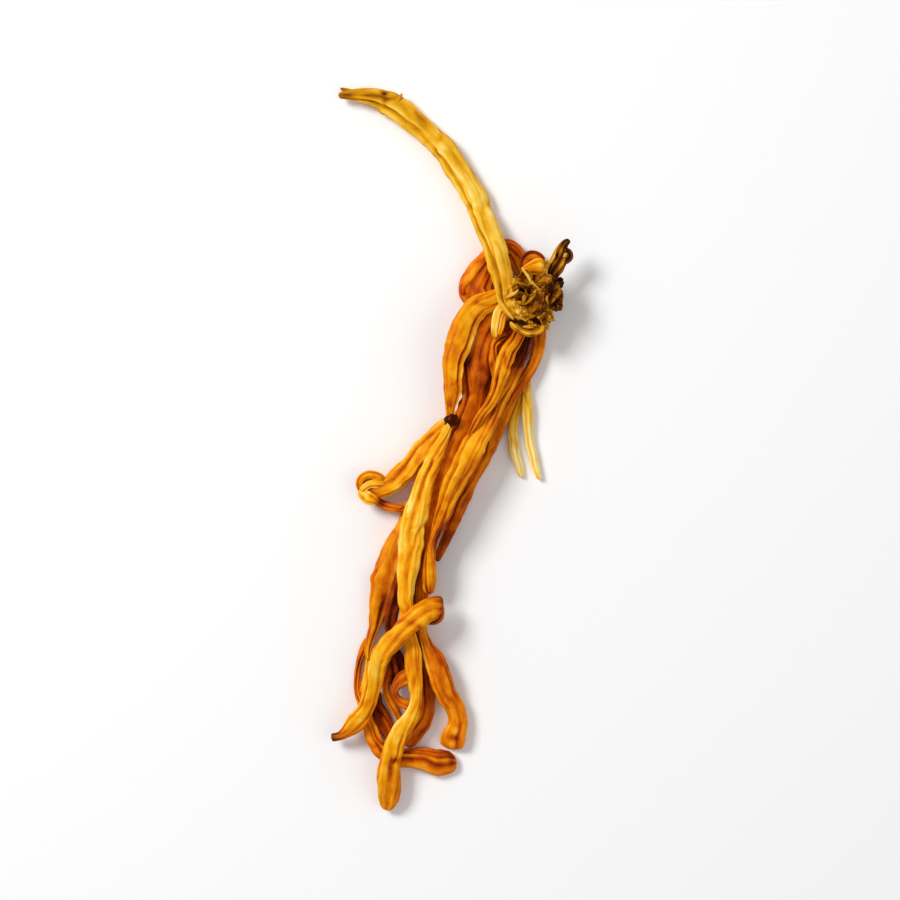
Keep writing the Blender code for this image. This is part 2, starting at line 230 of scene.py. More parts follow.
flesh, ins, outs = new_group(
    "dried_flesh",
    [
        ("Streaks", "NodeSocketFloat", 0.10),
        ("Blotches", "NodeSocketFloat", 0.08),
        ("Smoothest", "NodeSocketFloat", 0.36),
    ],
    [("Tone", "NodeSocketFloat"), ("Roughness", "NodeSocketFloat"), ("Height", "NodeSocketFloat")],
)
tone = new_node(flesh, "ShaderNodeAttribute", attribute_name="tone")
grain = new_node(flesh, "ShaderNodeAttribute", attribute_name="grain")
place = new_node(flesh, "ShaderNodeTexCoord")
streak = new_node(flesh, "ShaderNodeTexNoise", Scale=3.4, Detail=5.0, Roughness=0.62)
fibre = new_node(flesh, "ShaderNodeTexNoise", Scale=11.0, Detail=3.0, Roughness=0.6)
blotch = new_node(flesh, "ShaderNodeTexNoise", Scale=520.0, Detail=4.0, Roughness=0.6)
flesh.links.new(grain.outputs["Vector"], streak.inputs["Vector"])
flesh.links.new(grain.outputs["Vector"], fibre.inputs["Vector"])
flesh.links.new(place.outputs["Object"], blotch.inputs["Vector"])
streaked = calculate(flesh, "SUBTRACT", streak.outputs["Fac"], 0.5)
streaked = calculate(flesh, "MULTIPLY", streaked, ins.outputs["Streaks"])
blotched = calculate(flesh, "SUBTRACT", blotch.outputs["Fac"], 0.5)
blotched = calculate(flesh, "MULTIPLY", blotched, ins.outputs["Blotches"])
uneven = calculate(flesh, "MULTIPLY", calculate(flesh, "ADD", streaked, blotched), NOISE_GAIN)
flesh.links.new(calculate(flesh, "ADD", tone.outputs["Fac"], uneven), outs.inputs["Tone"])
rough = calculate(flesh, "MULTIPLY", fibre.outputs["Fac"], ROUGHNESS_SPREAD)
flesh.links.new(calculate(flesh, "ADD", rough, ins.outputs["Smoothest"]), outs.inputs["Roughness"])
flesh.links.new(calculate(flesh, "ADD", fibre.outputs["Fac"], streak.outputs["Fac"]), outs.inputs["Height"])
print("flesh group:", len(flesh.nodes), "nodes")


# %% Make the finishes
WAX = {
    "Specular IOR Level": 0.13,
    "Specular Tint": (1.0, 0.8, 0.45, 1),
    "Subsurface Weight": 0.08,
    "Subsurface Radius": (1.0, 0.35, 0.08),
    "Subsurface Scale": 0.4 * MM,
}
RELIEF = 0.07 * MM  # the height of the finest fibres


def flesh_finish(name, ramp_name, streaks=0.10, blotches=0.10, smoothest=0.40, bump=0.40):
    """A waxy dried flesh: the group gives what varies, and the shader keeps the gloss."""
    finish = bpy.data.materials.new(name)
    finish.use_nodes = True
    tree = finish.node_tree
    shader = tree.nodes["Principled BSDF"]
    group = new_node(tree, "ShaderNodeGroup")
    group.node_tree = flesh
    group.inputs["Streaks"].default_value = streaks
    group.inputs["Blotches"].default_value = blotches
    group.inputs["Smoothest"].default_value = smoothest
    ramp = new_node(tree, "ShaderNodeValToRGB").color_ramp
    stops = RAMPS[ramp_name]
    for position, colour in stops[1:-1]:
        ramp.elements.new(position).color = from_screen(*colour)
    ramp.elements[0].color = from_screen(*stops[0][1])
    ramp.elements[-1].color = from_screen(*stops[-1][1])
    coloured = tree.nodes["Color Ramp"]
    relief = new_node(tree, "ShaderNodeBump", Strength=bump, Distance=RELIEF)
    tree.links.new(group.outputs["Tone"], coloured.inputs["Fac"])
    tree.links.new(coloured.outputs["Color"], shader.inputs["Base Color"])
    tree.links.new(group.outputs["Roughness"], shader.inputs["Roughness"])
    tree.links.new(group.outputs["Height"], relief.inputs["Height"])
    tree.links.new(relief.outputs["Normal"], shader.inputs["Normal"])
    for socket, value in WAX.items():
        shader.inputs[socket].default_value = value
    return finish


FINISHES = {
    "yellow_flesh": flesh_finish("straw_flesh", "straw", streaks=0.16, blotches=0.12),
    "gold_flesh": flesh_finish("gold_flesh", "amber", streaks=0.15, blotches=0.16),
    "amber_flesh": flesh_finish("amber_flesh", "amber", streaks=0.16, blotches=0.20),
    "orange_flesh": flesh_finish("burnt_orange_flesh", "burnt", streaks=0.16, blotches=0.24),
    "red_flesh": flesh_finish("maroon_flesh", "burnt", streaks=0.16, blotches=0.20),
    "pale_flesh": flesh_finish("cream_flesh", "straw", smoothest=0.42),
    "knot_crust": flesh_finish(
        "knot_crust", "crust", streaks=0.08, blotches=0.16, smoothest=0.5, bump=0.6
    ),
    "root_remains": flesh_finish(
        "root_remains", "crust", streaks=0.16, blotches=0.16, smoothest=0.5, bump=0.8
    ),
}
print("finishes:", ", ".join(FINISHES))

# %% [markdown]
# ## Where each strand runs
# A strand is drawn as a route in plan, from its root to its tip, in millimetres: x, y and width. Its
# heights aren't drawn again, because the frame's solids already lie on each other: a ray down and a ray
# up through each solid find its top and its underside. Each strand also has
# - `tones`: the tone at shares of its length,
# - `furrows`: (angle, depth, spread) of each long furrow; a negative depth is a raised rib,
# - `turning`: how fast the furrows turn round it, in radians a millimetre,
# - `marks`: (millimetres from the root, or from the tip if negative, angle, length, spread, tone, dent)
#   of a place that is stained or pressed in; some marks are painted highlights and painted shade,
# - `lifts`: how far it stands above its solid, in millimetres, at shares of its length; negative where it
#   sinks in,
# - `blunt`: how far the rounding of its ends reaches, as a share of its width.
# Seen from the root, angle 0 is the left side, a quarter turn is the top, and a half turn is the right
# side.

# %% The lowest strands
PLAN_SHIFT = np.array((0.22, 0.1)) * MM  # centres the whole tuft

STRANDS = {
    "outer_left_strand": {
        "route": [
            (8.2, 15.6, 1.3), (6.4, 14.2, 1.4), (5.0, 12.2, 1.6), (3.8, 9.6, 1.6), (2.4, 6.8, 1.6),
            (1.0, 3.8, 1.6), (-0.5, 0.8, 1.7), (-2.0, -2.2, 1.8), (-3.5, -5.2, 2.0), (-4.8, -7.8, 2.3),
            (-6.0, -10.2, 2.9), (-7.0, -12.6, 3.3), (-7.7, -15.0, 3.5), (-8.2, -17.2, 3.1),
            (-8.8, -19.2, 2.1), (-9.25, -20.9, 1.2), (-9.6, -22.4, 0.9), (-9.8, -23.8, 0.8),
            (-9.7, -24.8, 0.5),
        ],
        "slot": "amber_flesh",
        "tones": [(0, 0.5), (0.6, 0.5), (0.75, 0.56), (0.85, 0.56), (0.93, 0.5), (1, 0.7)],
        "furrows": [(1.25, 0.34, 0.22), (2.3, 0.14, 0.2)], "turning": 0.008,
        "marks": [(-7.5, 1.5, 2.2, 0.5, -0.2, 0.1), (-13.5, 0.4, 3.0, 0.4, -0.12, 0.0)],
    },
    "pale_runner_short": {
        "route": [
            (8.2, 6.4, 0.7), (7.6, 4.4, 0.9), (7.25, 2.9, 1.1), (7.15, 1.2, 1.1), (7.4, -0.6, 1.1),
            (7.9, -2.3, 0.9), (8.3, -3.4, 0.5),
        ],
        "slot": "pale_flesh", "tones": [(0, 0.6), (0.4, 0.8), (0.7, 0.95), (1, 1.0)],
        "furrows": [(1.4, 0.3, 0.4)],
    },
    "pale_runner_long": {
        "route": [
            (8.9, 8.8, 0.8), (8.75, 7.6, 1.0), (8.75, 5.8, 1.1), (8.8, 3.8, 1.2), (8.95, 1.6, 1.1),
            (9.3, -0.4, 1.1), (9.8, -2.2, 0.9), (10.3, -3.6, 0.5),
        ],
        "slot": "pale_flesh", "tones": [(0, 0.5), (0.2, 0.7), (0.5, 0.92), (1, 1.0)],
        "furrows": [(2.0, 0.35, 0.35)],
    },
    "valley_strand": {
        "route": [
            (8.2, 15.2, 1.4), (7.0, 13.8, 1.6), (5.8, 12.4, 1.8), (4.9, 10.6, 1.6), (4.7, 8.6, 1.5),
            (4.6, 6.6, 1.5), (3.7, 4.6, 1.6), (2.6, 2.6, 1.6), (1.4, 0.4, 1.6), (0.2, -1.8, 1.7),
            (-0.9, -4.2, 1.8), (-1.9, -6.8, 1.8), (-2.8, -9.4, 1.7), (-3.4, -12.0, 1.6), (-3.9, -14.6, 1.5),
            (-4.2, -17.0, 1.4), (-4.1, -19.4, 1.4), (-3.8, -21.6, 1.6), (-3.4, -24.0, 1.8),
            (-3.0, -26.4, 1.8), (-2.9, -28.6, 1.8), (-3.0, -30.6, 2.0), (-3.6, -32.2, 2.2),
            (-4.6, -33.7, 1.9), (-5.5, -34.8, 1.3),
        ],
        "slot": "red_flesh",
        "tones": [(0, 0.4), (0.2, 0.5), (0.4, 0.34), (0.6, 0.28), (0.72, 0.42), (0.85, 0.5), (1, 0.6)],
        "furrows": [(1.2, 0.3, 0.22), (2.2, 0.3, 0.2)], "turning": 0.02,
        "marks": [
            (-3.0, 1.0, 1.5, 0.3, -0.25, 0.1), (-4.5, 2.2, 1.5, 0.3, 0.2, 0.0),
            (-7.0, 1.8, 2.0, 0.3, -0.2, 0.0),
        ],
    },
    # Its dark tones are partly painted shade, because it lies low under the strands above it.
    "deep_red_strand": {
        "route": [
            (-8.7, -28.2, 0.9), (-8.8, -29.8, 1.5), (-8.3, -31.4, 1.9), (-7.6, -32.9, 1.6),
            (-7.0, -34.2, 0.9),
        ],
        "slot": "red_flesh", "tones": [(0, 0.3), (0.4, 0.26), (1, 0.38)], "furrows": [(1.5, 0.3, 0.4)],
    },
    "low_red_strand": {
        "route": [
            (-9.7, -22.2, 0.7), (-10.3, -23.4, 0.8), (-10.8, -24.8, 0.75), (-11.05, -26.4, 0.8),
            (-11.0, -28.0, 0.85), (-10.6, -29.6, 1.0), (-10.1, -31.0, 1.3), (-9.6, -32.6, 1.7),
            (-9.1, -34.1, 1.9), (-8.1, -35.4, 2.0), (-6.6, -36.1, 2.3), (-4.9, -36.2, 2.5),
            (-3.2, -36.4, 2.8), (-1.6, -36.8, 3.1), (-0.3, -36.8, 2.7), (0.6, -36.7, 1.5),
        ],
        "slot": "red_flesh",
        "tones": [
            (0, 0.74), (0.1, 0.4), (0.28, 0.46), (0.38, 0.66), (0.5, 0.62), (0.65, 0.54), (0.8, 0.6),
            (0.92, 0.58), (1, 0.5),
        ],
        "furrows": [(0.75, 0.34, 0.22), (1.75, 0.34, 0.20), (2.3, -0.14, 0.16)], "turning": 0.0,
        "blunt": 0.22,
        "marks": [
            (-0.6, 1.3, 0.4, 0.5, -0.15, 0.25), (-5.0, 0.5, 3.0, 0.35, -0.12, 0.0),
            (-4.2, 2.3, 2.6, 0.3, 0.26, 0.0), (-1.0, 0.2, 1.2, 0.5, -0.2, 0.0),
        ],
    },
    "folded_strand": {
        "route": [
            (9.3, 18.8, 1.6), (8.5, 20.4, 2.0), (7.8, 22.0, 2.2), (7.2, 23.2, 2.2), (6.1, 23.6, 2.3),
            (5.0, 22.9, 2.5), (4.2, 21.7, 2.9), (3.4, 20.3, 3.4), (2.9, 19.0, 3.9), (3.1, 17.6, 3.4),
            (3.5, 16.2, 2.6), (3.5, 14.6, 1.9), (3.3, 13.2, 1.2), (3.1, 12.4, 0.8),
        ],
        "slot": "orange_flesh",
        "tones": [(0, 0.4), (0.2, 0.56), (0.4, 0.5), (0.6, 0.62), (0.75, 0.54), (1, 0.44)],
        "furrows": [(0.95, 0.24, 0.2), (1.6, 0.26, 0.16), (2.2, 0.24, 0.2)], "turning": -0.02,
        "marks": [
            (10.0, 2.7, 2.0, 0.4, 0.12, 0.0), (12.0, 2.9, 2.0, 0.3, -0.2, 0.0),
            (9.5, 1.2, 1.5, 0.3, -0.2, 0.1), (11.0, 1.9, 1.0, 0.3, 0.16, -0.05),
        ],
    },
    "middle_strand": {
        "route": [
            (8.0, 17.6, 1.6), (6.2, 16.7, 1.8), (4.8, 15.5, 2.4), (3.8, 13.9, 2.9), (3.0, 12.0, 2.9),
            (2.7, 10.0, 3.0), (2.75, 8.0, 3.2), (2.6, 6.2, 3.1), (2.1, 4.4, 2.9), (1.4, 2.6, 2.7),
            (0.6, 0.8, 2.6), (-0.2, -1.2, 2.6), (-1.0, -3.4, 2.6), (-1.7, -5.6, 2.5), (-2.3, -8.0, 2.2),
            (-2.8, -10.4, 1.9), (-3.1, -12.8, 1.6), (-3.3, -15.2, 1.5), (-3.4, -17.6, 1.4),
            (-3.4, -19.6, 1.1), (-3.4, -21.4, 1.0), (-2.9, -23.0, 1.6), (-2.1, -24.6, 2.5),
            (-1.3, -26.8, 2.7), (-0.5, -28.6, 2.6), (0.3, -30.2, 2.5), (0.6, -32.0, 2.5), (0.3, -33.5, 2.9),
            (0.2, -34.6, 2.9), (0.15, -35.2, 2.6),
        ],
        "slot": "orange_flesh",
        "tones": [
            (0, 0.5), (0.06, 0.6), (0.12, 0.46), (0.2, 0.34), (0.28, 0.42), (0.34, 0.56), (0.45, 0.58),
            (0.55, 0.46), (0.6, 0.38), (0.68, 0.5), (0.74, 0.64), (0.8, 0.52), (0.88, 0.56), (0.95, 0.76),
            (1, 0.7),
        ],
        "furrows": [(1.2, 0.26, 0.22), (2.35, 0.26, 0.18), (2.75, -0.12, 0.16)], "turning": 0.003,
        "blunt": 0.25,
        "marks": [
            (-1.5, 1.5, 0.4, 0.4, -0.35, 0.25), (-11.0, 2.7, 4.0, 0.35, 0.32, 0.0),
            (-8.0, 0.8, 4.5, 0.6, -0.15, 0.0), (9.8, 2.2, 0.9, 0.35, -0.25, 0.1),
            (12.5, 0.9, 1.0, 0.3, -0.2, 0.05), (13.5, 2.3, 0.8, 0.3, -0.2, 0.0),
            (11.2, 1.5, 1.0, 0.4, 0.14, -0.06), (16.0, 1.4, 1.2, 0.4, 0.1, -0.05),
        ],
    },
}
print("low strands:", len(STRANDS))

# %% [markdown]
# The next strands lie on those: the thin ones of the lower loop, and the wide ones that run down from the
# neck.

# %% The strands in the middle
STRANDS |= {
    "right_edge_strand": {
        "route": [
            (10.2, 15.6, 1.2), (10.3, 13.4, 1.5), (10.1, 11.8, 1.6), (9.6, 10.2, 1.5), (8.9, 8.9, 1.4),
            (8.2, 7.6, 1.3), (7.3, 6.2, 1.4), (6.4, 4.6, 1.6), (5.6, 2.8, 1.7), (4.9, 1.2, 1.7),
            (4.1, -0.4, 1.7), (3.2, -2.0, 1.7), (2.3, -3.8, 1.6), (1.5, -5.6, 1.7), (0.7, -7.4, 1.6),
            (-0.1, -9.1, 1.5), (-1.0, -10.9, 1.3), (-1.6, -12.3, 0.9), (-1.8, -13.1, 0.5),
        ],
        "slot": "orange_flesh",
        "tones": [(0, 0.4), (0.1, 0.56), (0.25, 0.6), (0.45, 0.55), (0.7, 0.5), (0.9, 0.4), (1, 0.3)],
        "furrows": [(1.9, 0.30, 0.24)], "turning": 0.01, "marks": [(3.5, 0.4, 2.0, 0.5, 0.12, 0.0)],
    },
    "inner_thin_strand": {
        "route": [
            (-4.9, -10.6, 0.8), (-5.7, -13.0, 1.0), (-6.3, -15.6, 1.2), (-6.85, -18.0, 1.5),
            (-7.1, -20.0, 1.5), (-7.0, -22.0, 1.3), (-6.9, -24.0, 1.3), (-7.2, -26.0, 1.1),
            (-7.6, -28.0, 1.0), (-7.1, -29.6, 1.0), (-6.4, -31.0, 0.9), (-6.1, -31.9, 0.6),
        ],
        "slot": "orange_flesh",
        "tones": [(0, 0.4), (0.3, 0.3), (0.42, 0.2), (0.6, 0.2), (0.78, 0.5), (0.9, 0.66), (1, 0.6)],
        "furrows": [(1.4, 0.26, 0.3)], "turning": 0.03,
    },
    "inner_loop_strand": {
        "route": [
            (-3.9, -25.4, 1.2), (-4.8, -26.1, 1.8), (-5.7, -26.8, 2.0), (-6.4, -27.6, 1.2),
            (-6.6, -28.5, 0.8), (-6.1, -29.3, 1.0), (-5.1, -29.9, 1.4), (-4.1, -30.5, 1.2),
        ],
        "slot": "orange_flesh",
        "tones": [(0, 0.5), (0.3, 0.64), (0.45, 0.4), (0.6, 0.3), (0.8, 0.6), (1, 0.5)],
        "furrows": [(1.4, 0.3, 0.25), (2.4, 0.2, 0.2)], "turning": 0.02,
        "marks": [(2.4, 2.6, 0.8, 0.4, -0.25, 0.1), (5.2, 0.5, 1.2, 0.4, 0.2, 0.0)],
    },
    "right_amber_strand": {
        "route": [
            (9.0, 15.0, 1.4), (8.7, 13.0, 1.5), (8.3, 11.2, 1.5), (7.6, 9.6, 1.5), (6.9, 8.0, 1.7),
            (6.1, 6.6, 1.8), (5.2, 5.2, 2.0), (4.4, 3.6, 2.3), (3.5, 2.0, 2.6), (2.4, 0.2, 2.8),
            (1.3, -1.8, 2.8), (0.3, -3.8, 2.6), (-0.5, -5.8, 2.2), (-1.2, -7.8, 1.7), (-1.9, -9.8, 1.2),
            (-2.4, -11.4, 1.1), (-2.6, -13.0, 1.7), (-2.65, -14.6, 1.9), (-2.65, -16.0, 1.6),
            (-2.6, -16.9, 0.8),
        ],
        "slot": "amber_flesh",
        # The dark tones at the root are painted shadow from the knot.
        "tones": [
            (0, 0.06), (0.1, 0.12), (0.17, 0.3), (0.24, 0.48), (0.35, 0.52), (0.5, 0.56), (0.68, 0.58),
            (0.8, 0.42), (0.9, 0.56), (0.97, 0.5), (1, 0.36),
        ],
        "furrows": [(2.2, 0.30, 0.20), (1.1, 0.22, 0.2)], "turning": -0.006,
        "marks": [(-8.5, 0.5, 2.5, 0.5, -0.2, 0.0), (18.0, 2.0, 4.0, 0.5, 0.1, 0.0)],
    },
    "golden_neck_strand": {
        "route": [
            (8.4, 14.8, 1.2), (7.6, 13.0, 1.5), (6.7, 11.6, 1.9), (6.1, 10.0, 2.1), (5.6, 8.4, 1.9),
            (5.1, 6.9, 1.5), (4.4, 5.4, 1.3), (3.6, 4.0, 1.2), (2.8, 2.6, 1.0), (2.1, 1.3, 0.6),
        ],
        "slot": "amber_flesh",
        "tones": [(0, 0.3), (0.15, 0.44), (0.28, 0.6), (0.5, 0.52), (0.8, 0.54), (1, 0.5)],
        "furrows": [(1.9, 0.36, 0.22), (1.0, 0.26, 0.2)], "turning": 0.02, "lifts": [(0.7, 0), (1, -1.3)],
        "marks": [(4.0, 1.0, 1.4, 0.4, -0.22, 0.15)],
    },
    "pale_neck_strand": {
        "route": [
            (6.9, 16.7, 0.8), (6.0, 16.7, 0.9), (5.4, 16.0, 0.9), (5.1, 14.9, 0.85), (4.95, 13.8, 0.8),
            (5.05, 12.8, 0.5),
        ],
        "slot": "pale_flesh", "tones": [(0, 0.6), (0.3, 0.78), (0.7, 0.86), (1, 0.6)],
        "furrows": [(1.7, 0.2, 0.3)], "lifts": [(0.6, 0), (1, -0.3)],
    },
    "outer_strand": {
        "route": [
            (7.6, 18.4, 1.7), (6.0, 17.9, 1.9), (4.6, 17.3, 2.1), (3.2, 16.6, 2.3), (2.0, 15.4, 2.7),
            (1.1, 13.6, 2.9), (0.6, 11.6, 2.9), (0.2, 9.6, 2.5), (0.1, 7.6, 2.2), (-0.05, 5.9, 1.6),
            (-0.2, 4.7, 1.1), (-0.2, 3.7, 0.9), (-0.2, 3.2, 0.8),
        ],
        "slot": "amber_flesh", "tones": [(0, 0.55), (0.25, 0.56), (0.5, 0.56), (0.8, 0.52), (1, 0.5)],
        "furrows": [(0.85, 0.32, 0.18), (0.45, -0.16, 0.14), (1.9, 0.12, 0.16)], "turning": 0.0,
        "marks": [(9.0, 0.9, 5.0, 0.2, -0.14, 0.0), (11.0, 0.4, 6.0, 0.2, 0.24, 0.0)],
    },
}
print("with those in the middle:", len(STRANDS))

# %% [markdown]
# The strands on top are the ones that are seen best, so they carry the most marks.

# %% The strands on top
STRANDS |= {
    "curled_strand": {
        "route": [
            (-0.2, 3.4, 0.9), (-1.0, 2.8, 1.5), (-2.1, 1.5, 2.2), (-3.4, -0.1, 2.7), (-4.8, -1.8, 2.9),
            (-6.1, -3.1, 2.8), (-7.4, -4.2, 2.5), (-8.4, -4.7, 2.3), (-9.3, -4.6, 2.3), (-10.0, -4.5, 2.3),
            (-10.6, -4.4, 1.6),
        ],
        "slot": "amber_flesh",
        "tones": [(0, 0.7), (0.2, 0.62), (0.45, 0.62), (0.8, 0.66), (0.87, 0.56), (0.92, 0.22), (1, 0.2)],
        "furrows": [(1.75, 0.32, 0.20), (0.5, -0.12, 0.18)], "turning": 0.02,
        "marks": [(9.0, 0.4, 2.0, 0.3, 0.2, 0.0), (5.0, 2.5, 3.0, 0.4, 0.1, 0.0)],
    },
    "return_arc": {
        "route": [
            (-9.2, -5.8, 0.8), (-8.5, -6.2, 1.0), (-7.7, -6.6, 1.1), (-6.7, -6.9, 1.0), (-5.7, -6.85, 1.0),
            (-4.8, -6.3, 0.9), (-4.3, -5.8, 0.8),
        ],
        "slot": "red_flesh", "tones": [(0, 0.66), (0.25, 0.46), (0.45, 0.58), (0.6, 0.54), (1, 0.6)],
        "furrows": [(1.8, 0.22, 0.3)], "marks": [(1.3, 0.8, 0.6, 0.6, -0.3, 0.1)],
    },
    "gold_strand": {
        "route": [
            (-0.15, 3.4, 0.8), (-0.3, 2.6, 0.9), (-0.9, 1.2, 1.4), (-1.8, -0.8, 1.8), (-2.7, -2.8, 2.1),
            (-3.5, -5.0, 2.5), (-4.0, -7.2, 2.8), (-4.5, -9.4, 2.9), (-4.8, -11.6, 2.8), (-5.0, -13.8, 2.5),
            (-5.3, -15.8, 2.1), (-5.4, -17.6, 1.8), (-5.2, -19.4, 1.6), (-4.9, -21.2, 1.7),
            (-4.6, -23.2, 1.9), (-4.5, -25.4, 1.9), (-4.3, -27.6, 1.7), (-4.2, -29.4, 1.6),
            (-4.7, -31.0, 2.0), (-5.7, -32.6, 2.4), (-6.7, -34.4, 2.6), (-7.2, -36.4, 2.7),
            (-7.3, -38.4, 3.3), (-7.4, -40.2, 3.0), (-7.6, -41.6, 2.0), (-7.7, -42.3, 1.0),
        ],
        "slot": "gold_flesh",
        "tones": [
            (0, 0.76), (0.1, 0.7), (0.2, 0.74), (0.35, 0.8), (0.42, 0.76), (0.5, 0.62), (0.65, 0.62),
            (0.75, 0.7), (0.84, 0.66), (0.9, 0.56), (1, 0.5),
        ],
        "furrows": [(1.35, 0.24, 0.16), (2.4, -0.12, 0.2), (0.6, 0.16, 0.2)], "turning": 0.002,
        "marks": [
            (5.0, 0.4, 5.0, 0.5, -0.16, 0.0), (-13.0, 2.4, 4.0, 0.3, 0.2, 0.0),
            (-6.3, 1.2, 0.4, 0.5, -0.3, 0.22), (-5.5, 1.6, 1.3, 0.2, -0.25, 0.2),
            (-4.5, 0.2, 3.5, 0.5, -0.3, 0.0), (-9.0, 0.3, 2.0, 0.5, -0.2, 0.0),
        ],
    },
    "crossing_strand": {
        "route": [
            (-0.95, -18.25, 2.0), (-1.7, -18.2, 2.3), (-2.7, -18.55, 2.6), (-3.7, -19.2, 2.7),
            (-4.8, -20.2, 2.7), (-6.2, -21.6, 2.6), (-7.6, -23.0, 2.4), (-8.5, -24.5, 2.3),
            (-8.95, -26.2, 2.3), (-9.4, -28.2, 2.0), (-10.0, -30.0, 1.9), (-10.9, -31.6, 2.5),
            (-12.0, -32.8, 1.8), (-13.1, -33.5, 1.2), (-14.1, -33.8, 1.0),
        ],
        "slot": "gold_flesh",
        "tones": [
            (0, 0.2), (0.025, 0.36), (0.06, 0.54), (0.12, 0.62), (0.3, 0.62), (0.6, 0.64), (0.8, 0.66),
            (0.92, 0.54), (0.97, 0.3), (1, 0.12),
        ],
        "furrows": [(1.1, 0.22, 0.2), (2.2, 0.14, 0.2)], "turning": 0.008, "blunt": 0.25,
        "marks": [
            (8.0, 0.3, 4.0, 0.4, -0.2, 0.0), (12.5, 2.6, 4.0, 0.4, 0.12, 0.0),
            (-4.0, 0.3, 2.5, 0.5, -0.22, 0.0), (0.6, 2.4, 1.2, 0.5, -0.16, 0.0),
            (1.3, 0.3, 1.8, 0.3, -0.2, 0.0), (9.5, 2.9, 4.0, 0.35, -0.15, 0.0),
        ],
    },
    "long_yellow_strand": {
        "route": [
            (7.3, 15.2, 0.9), (6.7, 16.2, 1.6), (6.2, 17.6, 2.0), (6.0, 19.0, 2.4), (5.8, 20.6, 2.8),
            (5.1, 23.0, 2.9), (4.1, 25.3, 2.8), (3.3, 27.6, 2.7), (2.5, 29.6, 2.9), (1.4, 31.6, 2.9),
            (0.1, 33.5, 2.7), (-1.4, 35.4, 2.8), (-3.2, 37.2, 2.9), (-5.0, 38.8, 3.1), (-6.8, 40.2, 3.1),
            (-8.6, 41.1, 2.3), (-10.3, 41.4, 1.7), (-11.8, 41.4, 1.2), (-13.3, 41.2, 0.7),
        ],
        "slot": "yellow_flesh",
        "tones": [
            (0, 0.5), (0.08, 0.54), (0.16, 0.58), (0.3, 0.7), (0.45, 0.78), (0.6, 0.74), (0.75, 0.62),
            (0.88, 0.5), (0.95, 0.4), (1, 0.34),
        ],
        "furrows": [(0.8, 0.30, 0.18), (0.35, -0.12, 0.16), (1.7, 0.12, 0.14), (2.5, -0.1, 0.14)],
        "turning": 0.0, "lifts": [(0, 1.5), (0.1, 1.3), (0.17, 0.5), (0.24, 0)],
        "marks": [
            (13.0, 0.75, 8.0, 0.18, -0.3, 0.0), (14.0, 0.1, 9.0, 0.25, -0.16, 0.0),
            (19.0, 1.25, 6.0, 0.14, 0.2, 0.0), (22.0, 2.8, 9.0, 0.3, -0.18, 0.0),
            (-5.2, 2.2, 0.4, 0.4, -0.5, 0.2), (10.0, 2.1, 5.0, 0.18, 0.16, 0.0),
            (-4.0, 1.6, 1.6, 0.4, -0.2, 0.1), (-1.2, 1.2, 0.8, 0.8, -0.2, 0.1),
            (26.0, 1.9, 1.2, 0.3, -0.2, 0.1),
        ],
    },
    "top_stub": {
        "route": [
            (10.8, 21.2, 1.0), (10.3, 22.1, 1.3), (9.6, 22.45, 1.5), (8.9, 22.25, 1.5), (8.5, 21.7, 1.3),
            (8.5, 21.1, 1.0),
        ],
        "slot": "red_flesh", "tones": [(0, 0.2), (0.3, 0.34), (0.5, 0.46), (0.8, 0.4), (1, 0.2)],
        "furrows": [(1.0, 0.3, 0.25), (2.2, 0.25, 0.3)],
        "marks": [(1.3, 0.4, 0.5, 0.5, -0.3, 0.1), (2.2, 2.6, 1.0, 0.4, -0.3, 0.0)],
    },
    "root_twig": {
        "route": [
            (10.9, 19.0, 1.5), (11.5, 20.2, 1.7), (12.0, 21.3, 1.7), (12.5, 22.3, 1.7), (12.8, 23.2, 1.3),
            (13.2, 23.8, 0.9), (13.7, 24.05, 0.6),
        ],
        "slot": "root_remains", "tones": [(0, 0.16), (0.4, 0.08), (0.65, 0.22), (0.85, 0.28), (1, 0.0)],
        "furrows": [(1.2, 0.3, 0.2), (2.1, 0.3, 0.2), (0.5, 0.25, 0.2), (2.7, 0.3, 0.2)], "turning": 0.12,
        "marks": [
            (1.6, 0.6, 1.2, 0.4, -0.15, 0.15), (3.0, 2.2, 0.6, 0.5, 0.3, -0.1),
            (3.6, 1.0, 0.5, 0.5, -0.2, 0.25), (2.2, 2.4, 0.5, 0.5, 0.1, -0.15),
        ],
    },
}
print("all strands:", len(STRANDS))

# %% [markdown]
# ## Loose folds and slivers
# Some flaps and slivers are too small for a solid of their own: the folds of the curled tip, the flap
# under the end of the crossing strand, a torn thread. Each lies on a strand and gets its heights from it:
# `over` names that strand, and says how far the flap's own top stands above the strand's top, in
# millimetres. The torn edges on the knot lie on no strand: `stands` gives the height of their middles, at
# shares of their length.

